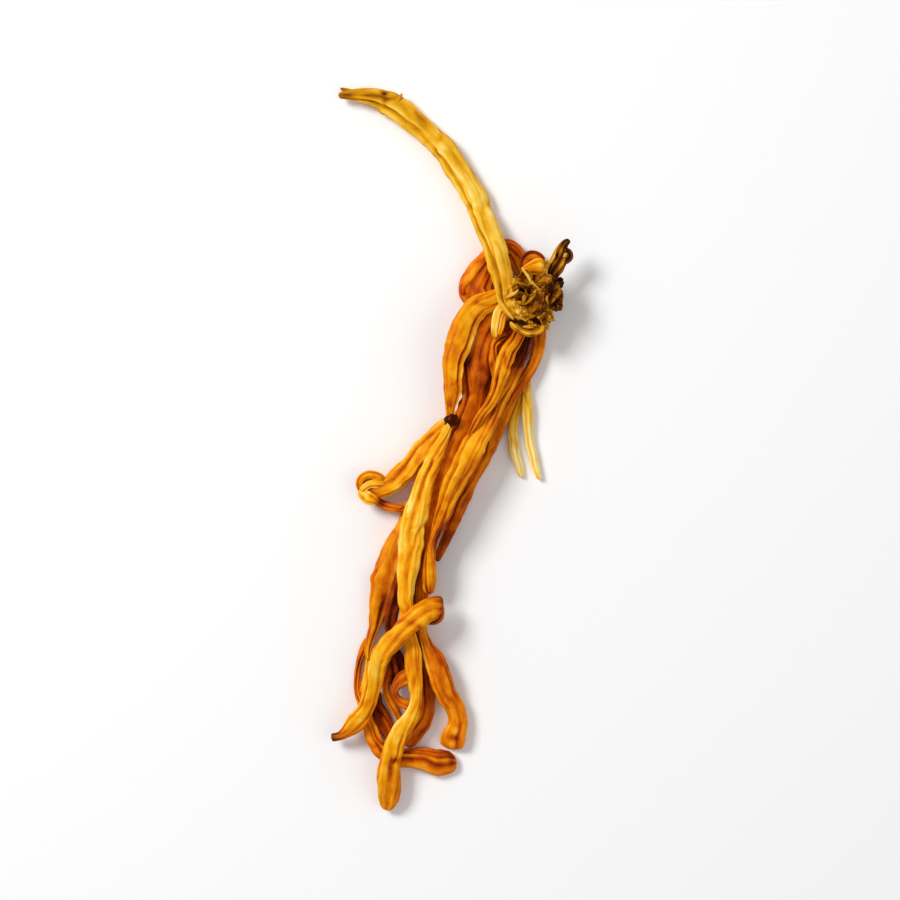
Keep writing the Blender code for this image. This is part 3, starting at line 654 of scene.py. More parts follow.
# %% Folds of the tips
FLAPS = {
    "curl_fold_top": {
        "route": [
            (-7.9, -3.5, 0.7), (-8.6, -3.1, 0.95), (-9.6, -2.98, 1.05), (-10.4, -3.35, 1.05),
            (-10.75, -4.0, 1.0), (-10.6, -4.8, 0.9), (-10.3, -5.4, 0.7),
        ],
        "over": ("curled_strand", 0.0), "slot": "amber_flesh", "tones": [(0, 0.6), (0.5, 0.62), (1, 0.6)],
        "furrows": [(2.0, 0.25, 0.3)],
    },
    "curl_fold_middle": {
        "route": [
            (-7.7, -4.0, 0.9), (-8.6, -3.95, 1.0), (-9.5, -4.1, 0.9), (-10.2, -4.6, 0.8),
            (-10.6, -5.1, 0.5),
        ],
        "over": ("curled_strand", 0.25), "slot": "amber_flesh",
        "tones": [(0, 0.66), (0.4, 0.76), (0.8, 0.82), (1, 0.7)], "furrows": [(1.2, 0.3, 0.3)],
        "lifts": [(0, -0.5), (0.3, 0)],
    },
    "curl_bulb": {
        "route": [
            (-10.7, -4.6, 0.8), (-10.3, -5.1, 1.3), (-9.8, -5.5, 1.6), (-9.1, -5.8, 1.3), (-8.5, -6.1, 0.8),
        ],
        "over": ("curled_strand", 0.15), "slot": "amber_flesh",
        "tones": [(0, 0.76), (0.5, 0.92), (1, 0.46)], "furrows": [(2.3, 0.3, 0.25), (1.1, 0.25, 0.2)],
        "marks": [(1.0, 2.0, 0.4, 0.4, -0.2, 0.15), (1.8, 1.0, 0.3, 0.5, -0.15, 0.15)],
    },
    # The dark flesh between the loops, darkened further as painted shade.
    "inner_web": {
        "route": [
            (-7.7, -22.9, 1.0), (-7.0, -24.2, 2.3), (-6.5, -25.5, 2.7), (-6.5, -26.7, 2.2),
            (-7.0, -27.8, 1.3),
        ],
        "over": ("inner_thin_strand", -0.35), "slot": "red_flesh",
        "tones": [(0, 0.2), (0.5, 0.14), (1, 0.3)], "furrows": [(1.2, 0.5, 0.3), (2.2, 0.4, 0.3)],
    },
    "gold_thread": {
        "route": [
            (-9.8, -23.2, 0.7), (-9.8, -24.5, 0.75), (-9.95, -26.0, 0.7), (-10.3, -27.4, 0.6),
            (-10.6, -28.6, 0.4),
        ],
        "over": ("low_red_strand", 0.1), "slot": "amber_flesh", "tones": [(0, 0.84), (0.5, 0.8), (1, 0.6)],
        "furrows": [(1.6, 0.2, 0.3)],
    },
    "fold_corner": {
        "route": [
            (4.2, 22.6, 0.8), (3.0, 21.4, 1.5), (2.0, 19.9, 1.6), (1.45, 18.7, 1.0), (1.5, 17.9, 0.5),
        ],
        "over": ("folded_strand", -0.1), "slot": "orange_flesh",
        "tones": [(0, 0.4), (0.3, 0.6), (0.7, 0.7), (1, 0.5)],
        "furrows": [(2.0, 0.4, 0.3), (1.0, -0.15, 0.3)],
    },
    "crossing_flap": {
        "route": [
            (-1.35, -18.1, 0.9), (-1.4, -18.8, 1.2), (-1.55, -19.35, 1.4), (-2.0, -19.7, 1.3),
            (-2.7, -19.95, 1.0), (-3.3, -20.2, 0.6),
        ],
        "over": ("crossing_strand", -0.1), "slot": "red_flesh",
        "tones": [(0, 0.5), (0.3, 0.36), (0.6, 0.26), (1, 0.3)], "furrows": [(2.3, 0.2, 0.25)],
        "blunt": 0.3, "lifts": [(0, -0.5), (0.4, -0.3), (1, -1.0)],
        "marks": [(1.4, 0.6, 1.0, 0.3, 0.2, 0.0), (2.2, 1.6, 0.8, 0.4, -0.12, 0.15)],
    },
}
print("folds:", len(FLAPS))

# %% [markdown]
# The slivers are scraps of skin at the neck, at the long strand's tip and on the twig.

# %% Slivers
FLAPS |= {
    "cream_sliver": {
        "route": [(8.3, 13.7, 0.5), (7.9, 12.9, 0.65), (7.5, 12.0, 0.5), (7.25, 11.0, 0.3)],
        "over": ("right_amber_strand", 0.5), "slot": "pale_flesh", "tones": [(0, 0.9), (1, 1.0)],
        "furrows": [(1.4, 0.2, 0.3)],
    },
    "neck_sliver": {
        "route": [
            (6.8, 16.0, 0.7), (6.1, 15.7, 0.9), (5.85, 14.8, 0.9), (5.65, 13.9, 0.75), (5.4, 13.1, 0.4),
        ],
        "over": ("pale_neck_strand", -0.1), "slot": "amber_flesh",
        "tones": [(0, 0.5), (0.5, 0.76), (1, 0.66)], "furrows": [(1.4, 0.2, 0.3)],
    },
    "neck_hook": {
        "route": [
            (6.6, 13.2, 1.0), (5.6, 12.9, 1.2), (4.8, 12.1, 1.2), (4.7, 10.8, 1.1), (4.9, 9.4, 1.1),
            (5.1, 8.0, 0.9), (5.2, 6.9, 0.6),
        ],
        "over": ("valley_strand", 0.7), "slot": "orange_flesh",
        "tones": [(0, 0.4), (0.3, 0.62), (0.7, 0.6), (1, 0.5)], "furrows": [(1.0, 0.3, 0.25)],
        "marks": [(2.5, 0.2, 1.5, 0.4, -0.2, 0.0)], "lifts": [(0, -0.5), (0.3, 0), (0.7, 0), (1, -0.5)],
    },
    "yellow_thorn": {
        "route": [(-6.5, 40.5, 0.6), (-6.1, 41.1, 0.45), (-5.8, 41.6, 0.25)],
        "over": ("long_yellow_strand", -0.2), "slot": "yellow_flesh", "tones": [(0, 0.6), (1, 0.3)],
        "furrows": [],
    },
    "yellow_fork": {
        "route": [(-11.2, 41.6, 0.6), (-12.2, 41.85, 0.55), (-13.1, 42.1, 0.3)],
        "over": ("long_yellow_strand", -0.1), "slot": "yellow_flesh", "tones": [(0, 0.5), (1, 0.3)],
        "furrows": [],
    },
    "twig_lobe": {
        "route": [
            (12.3, 22.4, 0.8), (12.9, 22.95, 0.85), (13.5, 22.8, 0.85), (13.65, 22.2, 0.8),
            (13.1, 21.75, 0.8), (12.5, 21.8, 0.7),
        ],
        "over": ("root_twig", -0.1), "slot": "root_remains", "tones": [(0, 0.14), (0.5, 0.22), (1, 0.12)],
        "furrows": [(1.5, 0.3, 0.3)],
    },
    "twig_bark": {
        "route": [
            (10.8, 20.0, 0.5), (11.2, 21.0, 0.6), (11.65, 22.1, 0.6), (12.05, 23.0, 0.5),
            (12.45, 23.6, 0.3),
        ],
        "over": ("root_twig", -0.2), "slot": "knot_crust", "tones": [(0, 0.5), (0.5, 0.72), (1, 0.6)],
        "furrows": [(1.2, 0.3, 0.3)],
    },
}
print("folds and slivers:", len(FLAPS))

# %% [markdown]
# The knot's torn edges catch the light. Each is a thin ridge, pointed at both ends.

# %% Torn edges on the knot
FLAPS |= {
    "knot_nub": {
        "route": [
            (8.1, 20.6, 0.7), (8.7, 20.8, 1.3), (9.4, 21.0, 1.9), (10.1, 21.1, 2.3), (10.7, 21.1, 2.0),
        ],
        "stands": [(0, 5.4), (0.5, 5.2), (1, 4.9)], "slot": "amber_flesh",
        "tones": [(0, 0.56), (0.5, 0.62), (1, 0.6)], "furrows": [(2.0, 0.3, 0.2), (1.1, 0.25, 0.2)],
        "blunt": 0.3,
        "marks": [
            (1.2, 2.2, 0.8, 0.5, -0.15, 0.1), (2.0, 1.2, 0.6, 0.4, 0.14, -0.1),
            (2.2, 2.4, 0.5, 0.4, -0.2, 0.1),
        ],
    },
    "knot_lip": {
        "route": [
            (6.75, 14.8, 0.3), (7.2, 14.2, 0.7), (8.0, 13.75, 0.6), (8.8, 13.45, 0.85), (9.7, 13.5, 0.65),
            (10.3, 13.9, 0.7), (10.5, 14.5, 0.3),
        ],
        "stands": [(0, 4.5), (0.5, 4.7), (1, 4.3)], "slot": "knot_crust",
        "tones": [(0, 0.86), (0.5, 0.68), (1, 0.62)], "furrows": [(0.6, 0.3, 0.4)], "blunt": 1.2,
        "marks": [
            (2.2, 0.6, 2.0, 0.5, -0.3, 0.2), (1.4, 2.0, 0.3, 0.8, -0.15, 0.2),
            (3.0, 2.2, 0.3, 0.8, -0.15, 0.2),
        ],
    },
    "knot_ridge": {
        "route": [
            (8.0, 20.95, 0.3), (8.55, 20.2, 0.45), (9.1, 19.4, 0.35), (9.7, 18.7, 0.4), (10.4, 18.2, 0.2),
        ],
        "stands": [(0, 5.9), (0.5, 6.1), (1, 5.8)], "slot": "knot_crust",
        "tones": [(0, 0.84), (0.5, 0.92), (1, 0.7)], "furrows": [(1.6, 0.3, 0.4)], "blunt": 1.5,
    },
    "knot_left_ridge": {
        "route": [(6.3, 17.35, 0.25), (6.8, 17.7, 0.45), (7.3, 17.95, 0.35), (7.7, 18.4, 0.2)],
        "stands": [(0, 5.4), (1, 5.9)], "slot": "knot_crust", "tones": [(0, 0.8), (1, 0.9)], "furrows": [],
        "blunt": 1.5,
    },
    "knot_rim": {
        "route": [
            (9.75, 18.4, 0.2), (9.35, 17.6, 0.35), (8.75, 16.95, 0.3), (8.2, 16.8, 0.35), (7.4, 17.0, 0.3),
            (6.7, 16.9, 0.15),
        ],
        "stands": [(0, 5.9), (0.5, 5.85), (1, 5.4)], "slot": "knot_crust",
        "tones": [(0, 0.7), (0.5, 0.66), (1, 0.8)], "furrows": [], "blunt": 1.5,
    },
    "knot_flank_edge": {
        "route": [
            (5.1, 18.8, 0.2), (5.35, 17.5, 0.4), (6.0, 16.4, 0.45), (6.7, 15.5, 0.4), (7.2, 14.9, 0.2),
        ],
        "stands": [(0, 4.2), (0.5, 4.4), (1, 4.6)], "slot": "pale_flesh",
        "tones": [(0, 0.6), (0.5, 0.76), (1, 0.66)], "furrows": [], "blunt": 1.5,
    },
    "knot_right_edge": {
        "route": [(11.2, 18.0, 0.15), (10.85, 17.4, 0.3), (11.0, 16.6, 0.2)],
        "stands": [(0, 5.5), (0.5, 5.9), (1, 5.4)], "slot": "knot_crust",
        "tones": [(0, 0.5), (0.5, 0.74), (1, 0.5)], "furrows": [], "blunt": 1.5,
    },
}
print("all flaps:", len(FLAPS))

# %% [markdown]
# ## From a route to a smooth line
# A curve through the route's points is read off at even steps, so that the skin's quads come out nearly
# square.


# %% Smooth lines and random curves
STEP = 0.2 * MM  # between the sections of a strand's skin
BEND_STEPS = 24  # between two points of a route


def along(rows):
    """Distance in plan from the first row to each row."""
    steps = np.hypot(*np.diff(rows[:, :2], axis=0).T)
    return np.concatenate(((0,), np.cumsum(steps)))


def smooth_rows(route, step):
    """Rows of x, y and width in metres, evenly spaced on a smooth curve through the route."""
    rows = np.array(route, float) * MM
    rows[:, :2] += PLAN_SHIFT
    ends = np.vstack((2 * rows[0] - rows[1], rows, 2 * rows[-1] - rows[-2]))
    t = np.linspace(0, 1, BEND_STEPS, endpoint=False)[:, None]
    stretches = []
    for a, b, c, d in zip(ends, ends[1:], ends[2:], ends[3:]):
        bend = 2 * b + (c - a) * t + (2 * a - 5 * b + 4 * c - d) * t**2
        bend += (3 * b - a - 3 * c + d) * t**3
        stretches.append(bend / 2)
    dense = np.vstack(stretches + [rows[-1:]])
    run = along(dense)
    even = np.linspace(0, run[-1], max(8, round(run[-1] / step) + 1))
    return np.stack([np.interp(even, run, column) for column in dense.T], axis=1)


def eased(values, times):
    """Values with their corners rounded off, both ends held."""
    for _ in range(times):
        values[1:-1] = (values[:-2] + 2 * values[1:-1] + values[2:]) / 4
    return values


def drift(rng, run, wavelength):
    """A smooth random curve between -1 and 1 along a strand."""
    values = rng.uniform(-1, 1, int(run[-1] / wavelength) + 3)
    place_on_curve = run / wavelength
    before = np.floor(place_on_curve).astype(int)
    share = place_on_curve - before
    share = share * share * (3 - 2 * share)
    return values[before] * (1 - share) + values[before + 1] * share


def drifts(rng, run, sorts):
    """A sum of drifts. sorts holds (size, wavelength in millimetres)."""
    return sum(size * drift(rng, run, wavelength * MM) for size, wavelength in sorts)


def read_off(stops, run):
    """The values of (share, value) stops at each place of a strand."""
    shares, values = np.array(stops, float).T
    return np.interp(run / run[-1], shares, values)


# %% [markdown]
# ## Heights from the frame
# `BVHTree.ray_cast` asks a mesh where a ray meets it. One ray from above and one from below give the
# solid's top and underside at each step of the route. Where a route starts inside the knot there is no
# solid, and the nearest height is carried on.


# %% Measure a solid along a route
FAR_OFF = 0.05  # metres, where the rays start
EASING = 60  # passes of rounding off, which take out the solid's facets


def heights_on_frame(node, rows):
    """The height of the solid's middle, and half its thickness, at each row."""
    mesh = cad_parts[node].data
    tree = BVHTree.FromPolygons([v.co for v in mesh.vertices], [p.vertices for p in mesh.polygons])
    found = []
    for index, (x, y, _) in enumerate(rows):
        top = tree.ray_cast(Vector((x, y, FAR_OFF)), Vector((0, 0, -1)))[0]
        under = tree.ray_cast(Vector((x, y, -FAR_OFF)), Vector((0, 0, 1)))[0]
        if top is not None and under is not None:
            found.append((index, (top.z + under.z) / 2, (top.z - under.z) / 2))
    found = np.array(found)
    steps = np.arange(len(rows))
    middle = np.interp(steps, found[:, 0], found[:, 1])
    half = np.interp(steps, found[:, 0], found[:, 2])
    return eased(middle, EASING), eased(half, EASING)


# %% [markdown]
# ## Creases that start and stop
# A drying strand shrinks unevenly, and its skin folds into creases with rounded lips and a sharp floor.
# They run mostly along the strand, wander, join and die out. A smooth random field does all that: where
# it crosses zero, and only there, the skin is pulled in. The field is stretched along the strand. Three
# such fields, from coarse to fine, make the folds, the wrinkles and the hairlines.


# %% Random fields on the skin
AROUND = 64  # quads round a strand
CREASE_SHARPNESS = 1.4


def smooth_share(values):
    """Whole part and eased remainder, for reading a lattice between its knots."""
    whole = np.floor(values).astype(int)
    share = values - whole
    return whole, share * share * (3 - 2 * share)


def skin_field(rng, run, turn, cells, wavelength):
    """A smooth random field from -1 to 1, closed round the strand, read at each point's run and turn."""
    along_whole, along_share = smooth_share(run / wavelength + 2)
    round_whole, round_share = smooth_share(turn / (2 * math.pi) * cells)
    knots = rng.uniform(-1, 1, (along_whole.max() + 2, cells))
    left, right = round_whole % cells, (round_whole + 1) % cells
    sides = []
    for row in (along_whole, along_whole + 1):
        sides.append(knots[row, left] * (1 - round_share) + knots[row, right] * round_share)
    return sides[0] * (1 - along_share) + sides[1] * along_share


def creases(field, reach):
    """1 where the field crosses zero, falling to 0 at reach on both sides, with a sharp floor."""
    return np.clip(1 - np.abs(field) / reach, 0, 1) ** CREASE_SHARPNESS


def blurred(values, along_steps, round_steps):
    """Each value with its neighbours' mean, closed round the strand."""
    wide = values[:, :-1]
    total = sum(np.roll(wide, step, axis=1) for step in range(-round_steps, round_steps + 1))
    total = total / (2 * round_steps + 1)
    padded = np.pad(total, ((along_steps, along_steps), (0, 0)), mode="edge")
    sums = np.cumsum(np.vstack((np.zeros((1, padded.shape[1])), padded)), axis=0)
    span = 2 * along_steps + 1
    total = (sums[span:] - sums[:-span]) / span
    return np.hstack((total, total[:, :1]))


# %% [markdown]
# ## A strand's skin
# The skin starts as a flat grid, whose short side will go round the strand and whose long side will run
# along it. It is rolled up vertex by vertex: each section is a flattened tube, with the strand's own
# furrows and the random creases pressed into it. Rolling a grid keeps the quads in order along the
# fibres, which a remesh wouldn't. The same pass stores what the finish needs: a tone, darker in what is
# pressed in and paler on what stands out. That is painted shade in the hollows and a painted highlight on
# the ridges, and in the creases it is partly the pigment too.

# %% The skin's own numbers
SWELL = 0.10 * MM  # the real skins touch where the solids keep a gap
ROLL = 0.42  # how far a section leans, in radians
CEILING = cad_box[1][2]
UNDERSIDE = (4.3, 0.3, 0.5)  # one more furrow, underneath
PLAIN_TURNING = 0.01
PLAIN_BLUNT = 0.42
SHORTEST_END = 0.25 * MM
SQUARENESS = (0.78, 0.72)  # under 1 makes a section's sides, and its top, flatter than an ellipse's
GRAIN_PITCH = 0.16  # shortens the noise's space along a strand, which draws it out into streaks
GRAIN_APART = 7  # keeps each strand's streaks its own
# Sums of drifts: (size, wavelength in millimetres)
WIDTH_DRIFTS = [(0.07, 2.2), (0.045, 0.8)]
HEIGHT_DRIFTS = [(0.08, 1.7)]
ROLL_DRIFTS = [(ROLL, 7.0)]
WANDER_DRIFTS = [(0.10, 3.1), (0.04, 1.2)]
TONE_DRIFTS = [(0.05, 4.0)]
FURROW_DRIFTS = [(0.3, 5.0), (0.12, 1.6)]
STRENGTH_DRIFTS = [(0.45, 4.0)]
# Random creases: cells round the strand, wavelength in millimetres, reach, depth, shade (how much darker,
# partly pigment and partly painted shade)
CREASES = [
    (3, 9.0, 0.16, 0.15, 0.8),
    (8, 4.0, 0.22, 0.05, 0.35),
    (27, 1.8, 0.5, 0.03, 0.2),
]
# Random lumps: cells round the strand, wavelength in millimetres, height
LUMPS = [(5, 2.4, 0.07), (9, 1.0, 0.035)]
PLUMPNESS = 1.03
UNCREASED = -0.2
SWAY = 0.45  # radians that creases wander round a strand
SHIFT = 1.2 * MM  # that they wander along it
FLATS = 0.10
EVEN_STRENGTH = 0.75  # of a furrow, before it drifts
# The furrows and creases are darkened in tone, partly as pigment and partly as painted shade in the
# hollows.
FURROW_PIGMENT_AND_SHADE = 1.7
CREASE_PIGMENT_AND_SHADE = 0.14
# A furrow's cross-section, in spreads from its middle
FURROW_POWER = 1.25
LIP_HEIGHT = 0.25
LIP_PLACE = 1.8
LIP_WIDTH = 0.7


# %% Ends and sections
def wrapped(angle):
    """The same angle between minus and plus half a turn."""
    return (angle + math.pi) % (2 * math.pi) - math.pi


def squared(wave, power):
    """A sine or cosine made squarer."""
    return np.sign(wave) * np.abs(wave) ** power


def end_rounding(run, width, blunt):
    """Closes both ends like a fingertip: 0 at the very end, 1 a share of the width further in."""
    reach = np.maximum(blunt * width, SHORTEST_END)
    near = np.minimum(run, run[-1] - run)
    share = np.clip(near / reach, 0.0, 1.0)
    return np.sqrt(1 - (1 - share) ** 2)


# %% [markdown]
# The relief is counted as a share of a plain section's reach from its axis. The random creases come
# first, then the lumps and flats, the strand's own furrows with their raised lips, and last its marks.


# %% Relief of the skin
def furrow_profile(away, strength):
    """A furrow's depth, and its lips' height, at so many spreads from its middle."""
    pressed = strength * np.exp(-(away**FURROW_POWER))
    lips = LIP_HEIGHT * strength * np.exp(-(((away - LIP_PLACE) / LIP_WIDTH) ** 2))
    return pressed, lips


def relief_of(look, run, turn, rng):
    """The skin's reach as a share of a plain section's, how creased it is, and its stains with painted
    highlights and shade.
    """
    shape = np.broadcast_to(turn, (len(run), turn.shape[1]))
    far = np.broadcast_to(run[:, None], shape.shape)
    turning = look.get("turning", PLAIN_TURNING)
    sway = skin_field(rng, far, shape, 3, 6 * MM)
    twisted = shape + turning * far / MM + SWAY * sway
    shifted = far + SHIFT * skin_field(rng, far, shape, 5, 3 * MM)

    scale = np.full(shape.shape, PLUMPNESS)
    creased = np.full(shape.shape, UNCREASED)
    for cells, wavelength, reach, depth, shade in CREASES:
        folded = creases(skin_field(rng, shifted, twisted, cells, wavelength * MM), reach)
        scale -= depth * folded
        creased += shade * folded
    for cells, wavelength, height in LUMPS:
        scale += height * skin_field(rng, far, shape, cells, wavelength * MM)
    scale -= FLATS * np.abs(skin_field(rng, shifted, twisted, 6, 2.8 * MM))

    for where, depth, spread in look["furrows"] + [UNDERSIDE]:
        centre = where + turning * run / MM + drifts(rng, run, FURROW_DRIFTS)
        strength = depth * (EVEN_STRENGTH + drifts(rng, run, STRENGTH_DRIFTS))
        away = np.abs(wrapped(turn - centre[:, None])) / spread
        pressed, lips = furrow_profile(away, strength[:, None])
        scale += lips - pressed
        creased += FURROW_PIGMENT_AND_SHADE * pressed

    # Random stains of the flesh's own colour come first. The marks follow, and some of them are painted
    # highlights and painted shade.
    stains_and_painted_light = 0.10 * skin_field(rng, far, shape, 4, 2.6 * MM)
    stains_and_painted_light += 0.06 * skin_field(rng, shifted, twisted, 9, 1.3 * MM)
    for far_in, where, length, spread, shade, dent in look.get("marks", []):
        start = far_in * MM if far_in > 0 else run[-1] + far_in * MM
        near = ((far - start) / (length * MM)) ** 2 + (wrapped(shape - where) / spread) ** 2
        stains_and_painted_light += shade * np.exp(-near)
        scale -= dent * np.exp(-near)
    return scale, creased, stains_and_painted_light


# %% [markdown]
# Each section stands square to its centre line. Where it would dip into the table or rise over the
# frame's top, the whole section is moved, and what little still sticks out is flattened.


# %% Shape the sections
def placed(rows, middle, wander, side_out, upward):
    """Puts the flat sections on their centre line."""
    centre_line = np.column_stack((rows[:, :2], middle))
    ahead = np.gradient(centre_line, axis=0)
    ahead /= np.linalg.norm(ahead, axis=1)[:, None]
    side = np.column_stack((-ahead[:, 1], ahead[:, 0], np.zeros(len(rows))))
    side /= np.linalg.norm(side, axis=1)[:, None]
    centre_line += side * wander[:, None]
    above = np.cross(ahead, side)
    lowest = (centre_line[:, 2:3] + upward).min(axis=1)
    highest = (centre_line[:, 2:3] + upward).max(axis=1)
    centre_line[:, 2] += eased(np.maximum(0, -lowest) - np.maximum(0, highest - CEILING), 10)
    points = centre_line[:, None] + side[:, None] * side_out[..., None] + above[:, None] * upward[..., None]
    points[..., 2] = np.clip(points[..., 2], 0.0, CEILING)
    return points


def shaped_skin(rows, middle, half, look, rng):
    """Points of the skin, [along, around], with each point's tone and grain."""
    run = along(rows)
    turn = np.linspace(-math.pi / 2, 1.5 * math.pi, AROUND + 1)[None, :]
    close = end_rounding(run, rows[:, 2], look.get("blunt", PLAIN_BLUNT))
    width = rows[:, 2] * (1 + drifts(rng, run, WIDTH_DRIFTS)) * close
    half = (half + SWELL) * (1 + drifts(rng, run, HEIGHT_DRIFTS)) * close
    scale, creased, stains_and_painted_light = relief_of(look, run, turn, rng)
    fade = close[:, None] ** 2
    scale = 1 + (scale - 1) * fade

    roll = drifts(rng, run, ROLL_DRIFTS)[:, None]
    across = squared(np.cos(turn), SQUARENESS[0]) * scale * width[:, None] / 2
    upward = squared(np.sin(turn), SQUARENESS[1]) * scale * half[:, None]
    side_out = across * np.cos(roll) - upward * np.sin(roll)
    upward = across * np.sin(roll) + upward * np.cos(roll)
    points = placed(rows, middle, drifts(rng, run, WANDER_DRIFTS) * MM, side_out, upward)

    tone = read_off(look["tones"], run) + drifts(rng, run, TONE_DRIFTS)
    # Painted light and shade: the tone rises on what stands out and falls in the hollows.
    painted_relief_light = scale - blurred(scale, along_steps=6, round_steps=5)
    # The creases are darkened by painted shade, with some pigment.
    tone = tone[:, None] + painted_relief_light - CREASE_PIGMENT_AND_SHADE * creased * fade + stains_and_painted_light
    far_on = (run / MM * GRAIN_PITCH)[:, None] + GRAIN_APART * look["seed"]
    grain = np.stack(np.broadcast_arrays(np.cos(turn), np.sin(turn), far_on), axis=-1)
    return points, tone, grain


# %% [markdown]
# The grid's own vertices carry their place in it: x runs from -0.5 to 0.5 round the strand and y from
# -0.5 to 0.5 along it, so each vertex can look up its new place. Merging doubles sews the seam, which is
# kept underneath, and makes one point of each end.


# %% Roll a grid into a strand
def new_skin():
    """An empty mesh with the two things that the finish reads."""
    bm = bmesh.new()
    bm.verts.layers.float.new("tone")
    bm.verts.layers.float_vector.new("grain")
    return bm


def roll_grid(bm, points, tones, grains):
    """Adds a grid and moves each vertex to its place in points, [along, around]."""
    rings, columns = len(points) - 1, points.shape[1] - 1
    made = bmesh.ops.create_grid(bm, x_segments=columns, y_segments=rings, size=0.5)["verts"]
    tone_layer = bm.verts.layers.float["tone"]
    grain_layer = bm.verts.layers.float_vector["grain"]
    for vert in made:
        column = round((vert.co.x + 0.5) * columns)
        ring = round((vert.co.y + 0.5) * rings)
        vert[tone_layer] = tones[ring, column]
        vert[grain_layer] = grains[ring, column]
        vert.co = points[ring, column]
    bmesh.ops.remove_doubles(bm, verts=made, dist=1e-7)


def finished(name, bm, slot):
    """Turns a skin's faces out, and makes it a piece of the tuft."""
    bmesh.ops.recalc_face_normals(bm, faces=bm.faces)
    mesh = bpy.data.meshes.new(name)
    bm.to_mesh(mesh)
    bm.free()
    mesh.shade_smooth()
    mesh.materials.append(FINISHES[slot])
    piece = bpy.data.objects.new(name, mesh)
    bpy.context.scene.collection.objects.link(piece)
    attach(piece, "root")
    return piece


def rolled_strand(name, look, rows, middle, half):
    """One strand or flap, as a finished piece."""
    points, tones, grains = shaped_skin(rows, middle, half, look, np.random.default_rng(look["seed"]))
    bm = new_skin()
    roll_grid(bm, points, tones, grains)
    return finished(name, bm, look["slot"])


# %% [markdown]
# A strand takes its heights from its own solid. A flap takes them from the nearest place of the strand
# that it lies on, and it is thin.

# %% Roll every strand and flap
FLAP_FLATNESS = 0.35  # half a flap's thickness, as a share of its width


def lifted(middle, rows, look):
    """Raises or sinks a strand where its solid lies a little too low or too high."""
    return middle + read_off(look.get("lifts", [(0, 0)]), along(rows)) * MM


def heights_over(look, rows):
    """Heights for a flap: its middle, and half its thickness."""
    thin = FLAP_FLATNESS * rows[:, 2]
    if "stands" in look:
        return read_off(look["stands"], along(rows)) * MM, thin
    under, lift = look["over"]
    under_rows = smooth_rows(STRANDS[under]["route"], STEP)
    middle, half = heights_on_frame(under, under_rows)
    gaps = np.hypot(*(rows[:, None, :2] - under_rows[None, :, :2]).T).T
    top = eased((middle + half)[gaps.argmin(axis=1)], 10)
    return top + lift * MM - thin, thin


triangles = 0
for seed, (name, look) in enumerate({**STRANDS, **FLAPS}.items()):
    look["seed"] = seed
    rows = smooth_rows(look["route"], STEP)
    if name in FLAPS:
        middle, half = heights_over(look, rows)
        piece = rolled_strand(name, look, rows, lifted(middle, rows, look), half)
    else:
        middle, half = heights_on_frame(name, rows)
        piece = rolled_strand(name + "_skin", look, rows, lifted(middle, rows, look), half)
        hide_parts(name)
    triangles += 2 * len(piece.data.polygons)
print("strand skins:", triangles, "triangles")

# %% [markdown]
# ## Torn stumps and flakes
# The knot is what is left of the tuft's base: many strands were torn off there, and their hollow stumps
# stand in a crumbly crust. A stump is a grid rolled like a strand, but its rows run up the outside, over
# a ragged rim and down the inside. A flake is a ball of small triangles, squashed, turned and roughened
# by noise. Voronoi noise gives the distances to the nearest two of many scattered points: where the two
# are equal, the crust has dried into a crack.


# %% A torn stump
STUMP_AROUND = 32
STUMP_ROWS = 49
STUMP_PROFILE = [  # out from the axis, and up
    (0.0, 0.0), (0.75, 0.0), (0.95, 0.15), (1.0, 0.4), (0.95, 0.7), (1.0, 0.9), (1.02, 0.98),
    (0.97, 1.0), (0.9, 0.96), (0.8, 0.8), (0.68, 0.6), (0.4, 0.45), (0.0, 0.4),
]
RAGGED = 0.5  # how uneven the rim is, as a share of the height
DENTS = 0.22
PLEATS = 0.14
# Painted light and shade on a stump: paler where its wall bulges out, darker in its dents and pleats.
DENT_PAINTED_LIGHT_AND_SHADE = 0.12
PLEAT_PAINTED_SHADE = 0.2
STUMP_SHADE = (-0.1, -0.05)  # at the foot, and at the floor inside


def stump(bm, foot, head, radius, tone, seed):
    """A torn hollow stump from foot to head, in metres."""
    rng = np.random.default_rng(seed)
    turn = np.linspace(0, 2 * math.pi, STUMP_AROUND + 1)[None, :]
    profile = np.array(STUMP_PROFILE)
    corners = np.arange(len(profile))
    rows = np.linspace(0, corners[-1], STUMP_ROWS)
    out = np.interp(rows, corners, profile[:, 0])[:, None]
    up = np.interp(rows, corners, profile[:, 1])[:, None]
    shape = np.broadcast_to(turn, (STUMP_ROWS, STUMP_AROUND + 1))
    far = np.broadcast_to(up, shape.shape)
    dents = skin_field(rng, far * 2, shape, 5, 1.0)
    pleats = creases(skin_field(rng, far * 2, shape, 11, 1.5), 0.5)
    out = radius * out * (1 + DENTS * dents - PLEATS * pleats)
    up = far * (1 + RAGGED * far**3 * skin_field(rng, far * 0, shape, 7, 1.0))

    axis = head - foot
    up = up * axis.length
    axis.normalize()
    side = axis.orthogonal().normalized()
    ahead = axis.cross(side)
    points = np.array(foot) + up[..., None] * np.array(axis)
    points += (out * np.cos(turn))[..., None] * np.array(side)
    points += (out * np.sin(turn))[..., None] * np.array(ahead)
    points[..., 2] = np.clip(points[..., 2], 0, CEILING)
    shade = tone + np.interp(rows, (0, corners[-1]), STUMP_SHADE)
    # Painted shade in the pleats, and painted light and shade on the dents.
    shade = shade[:, None] - PLEAT_PAINTED_SHADE * pleats + DENT_PAINTED_LIGHT_AND_SHADE * dents
    grain = np.stack(np.broadcast_arrays(np.cos(turn), np.sin(turn), far * 0.4 + seed), axis=-1)
    roll_grid(bm, points, shade, grain)


# %% A cracked flake
CRACK_REACH = 0.25  # the width of the dry cracks between a flake's lumps, as a share of a lump
TIPPING = 0.3  # radians that a placed flake may lean
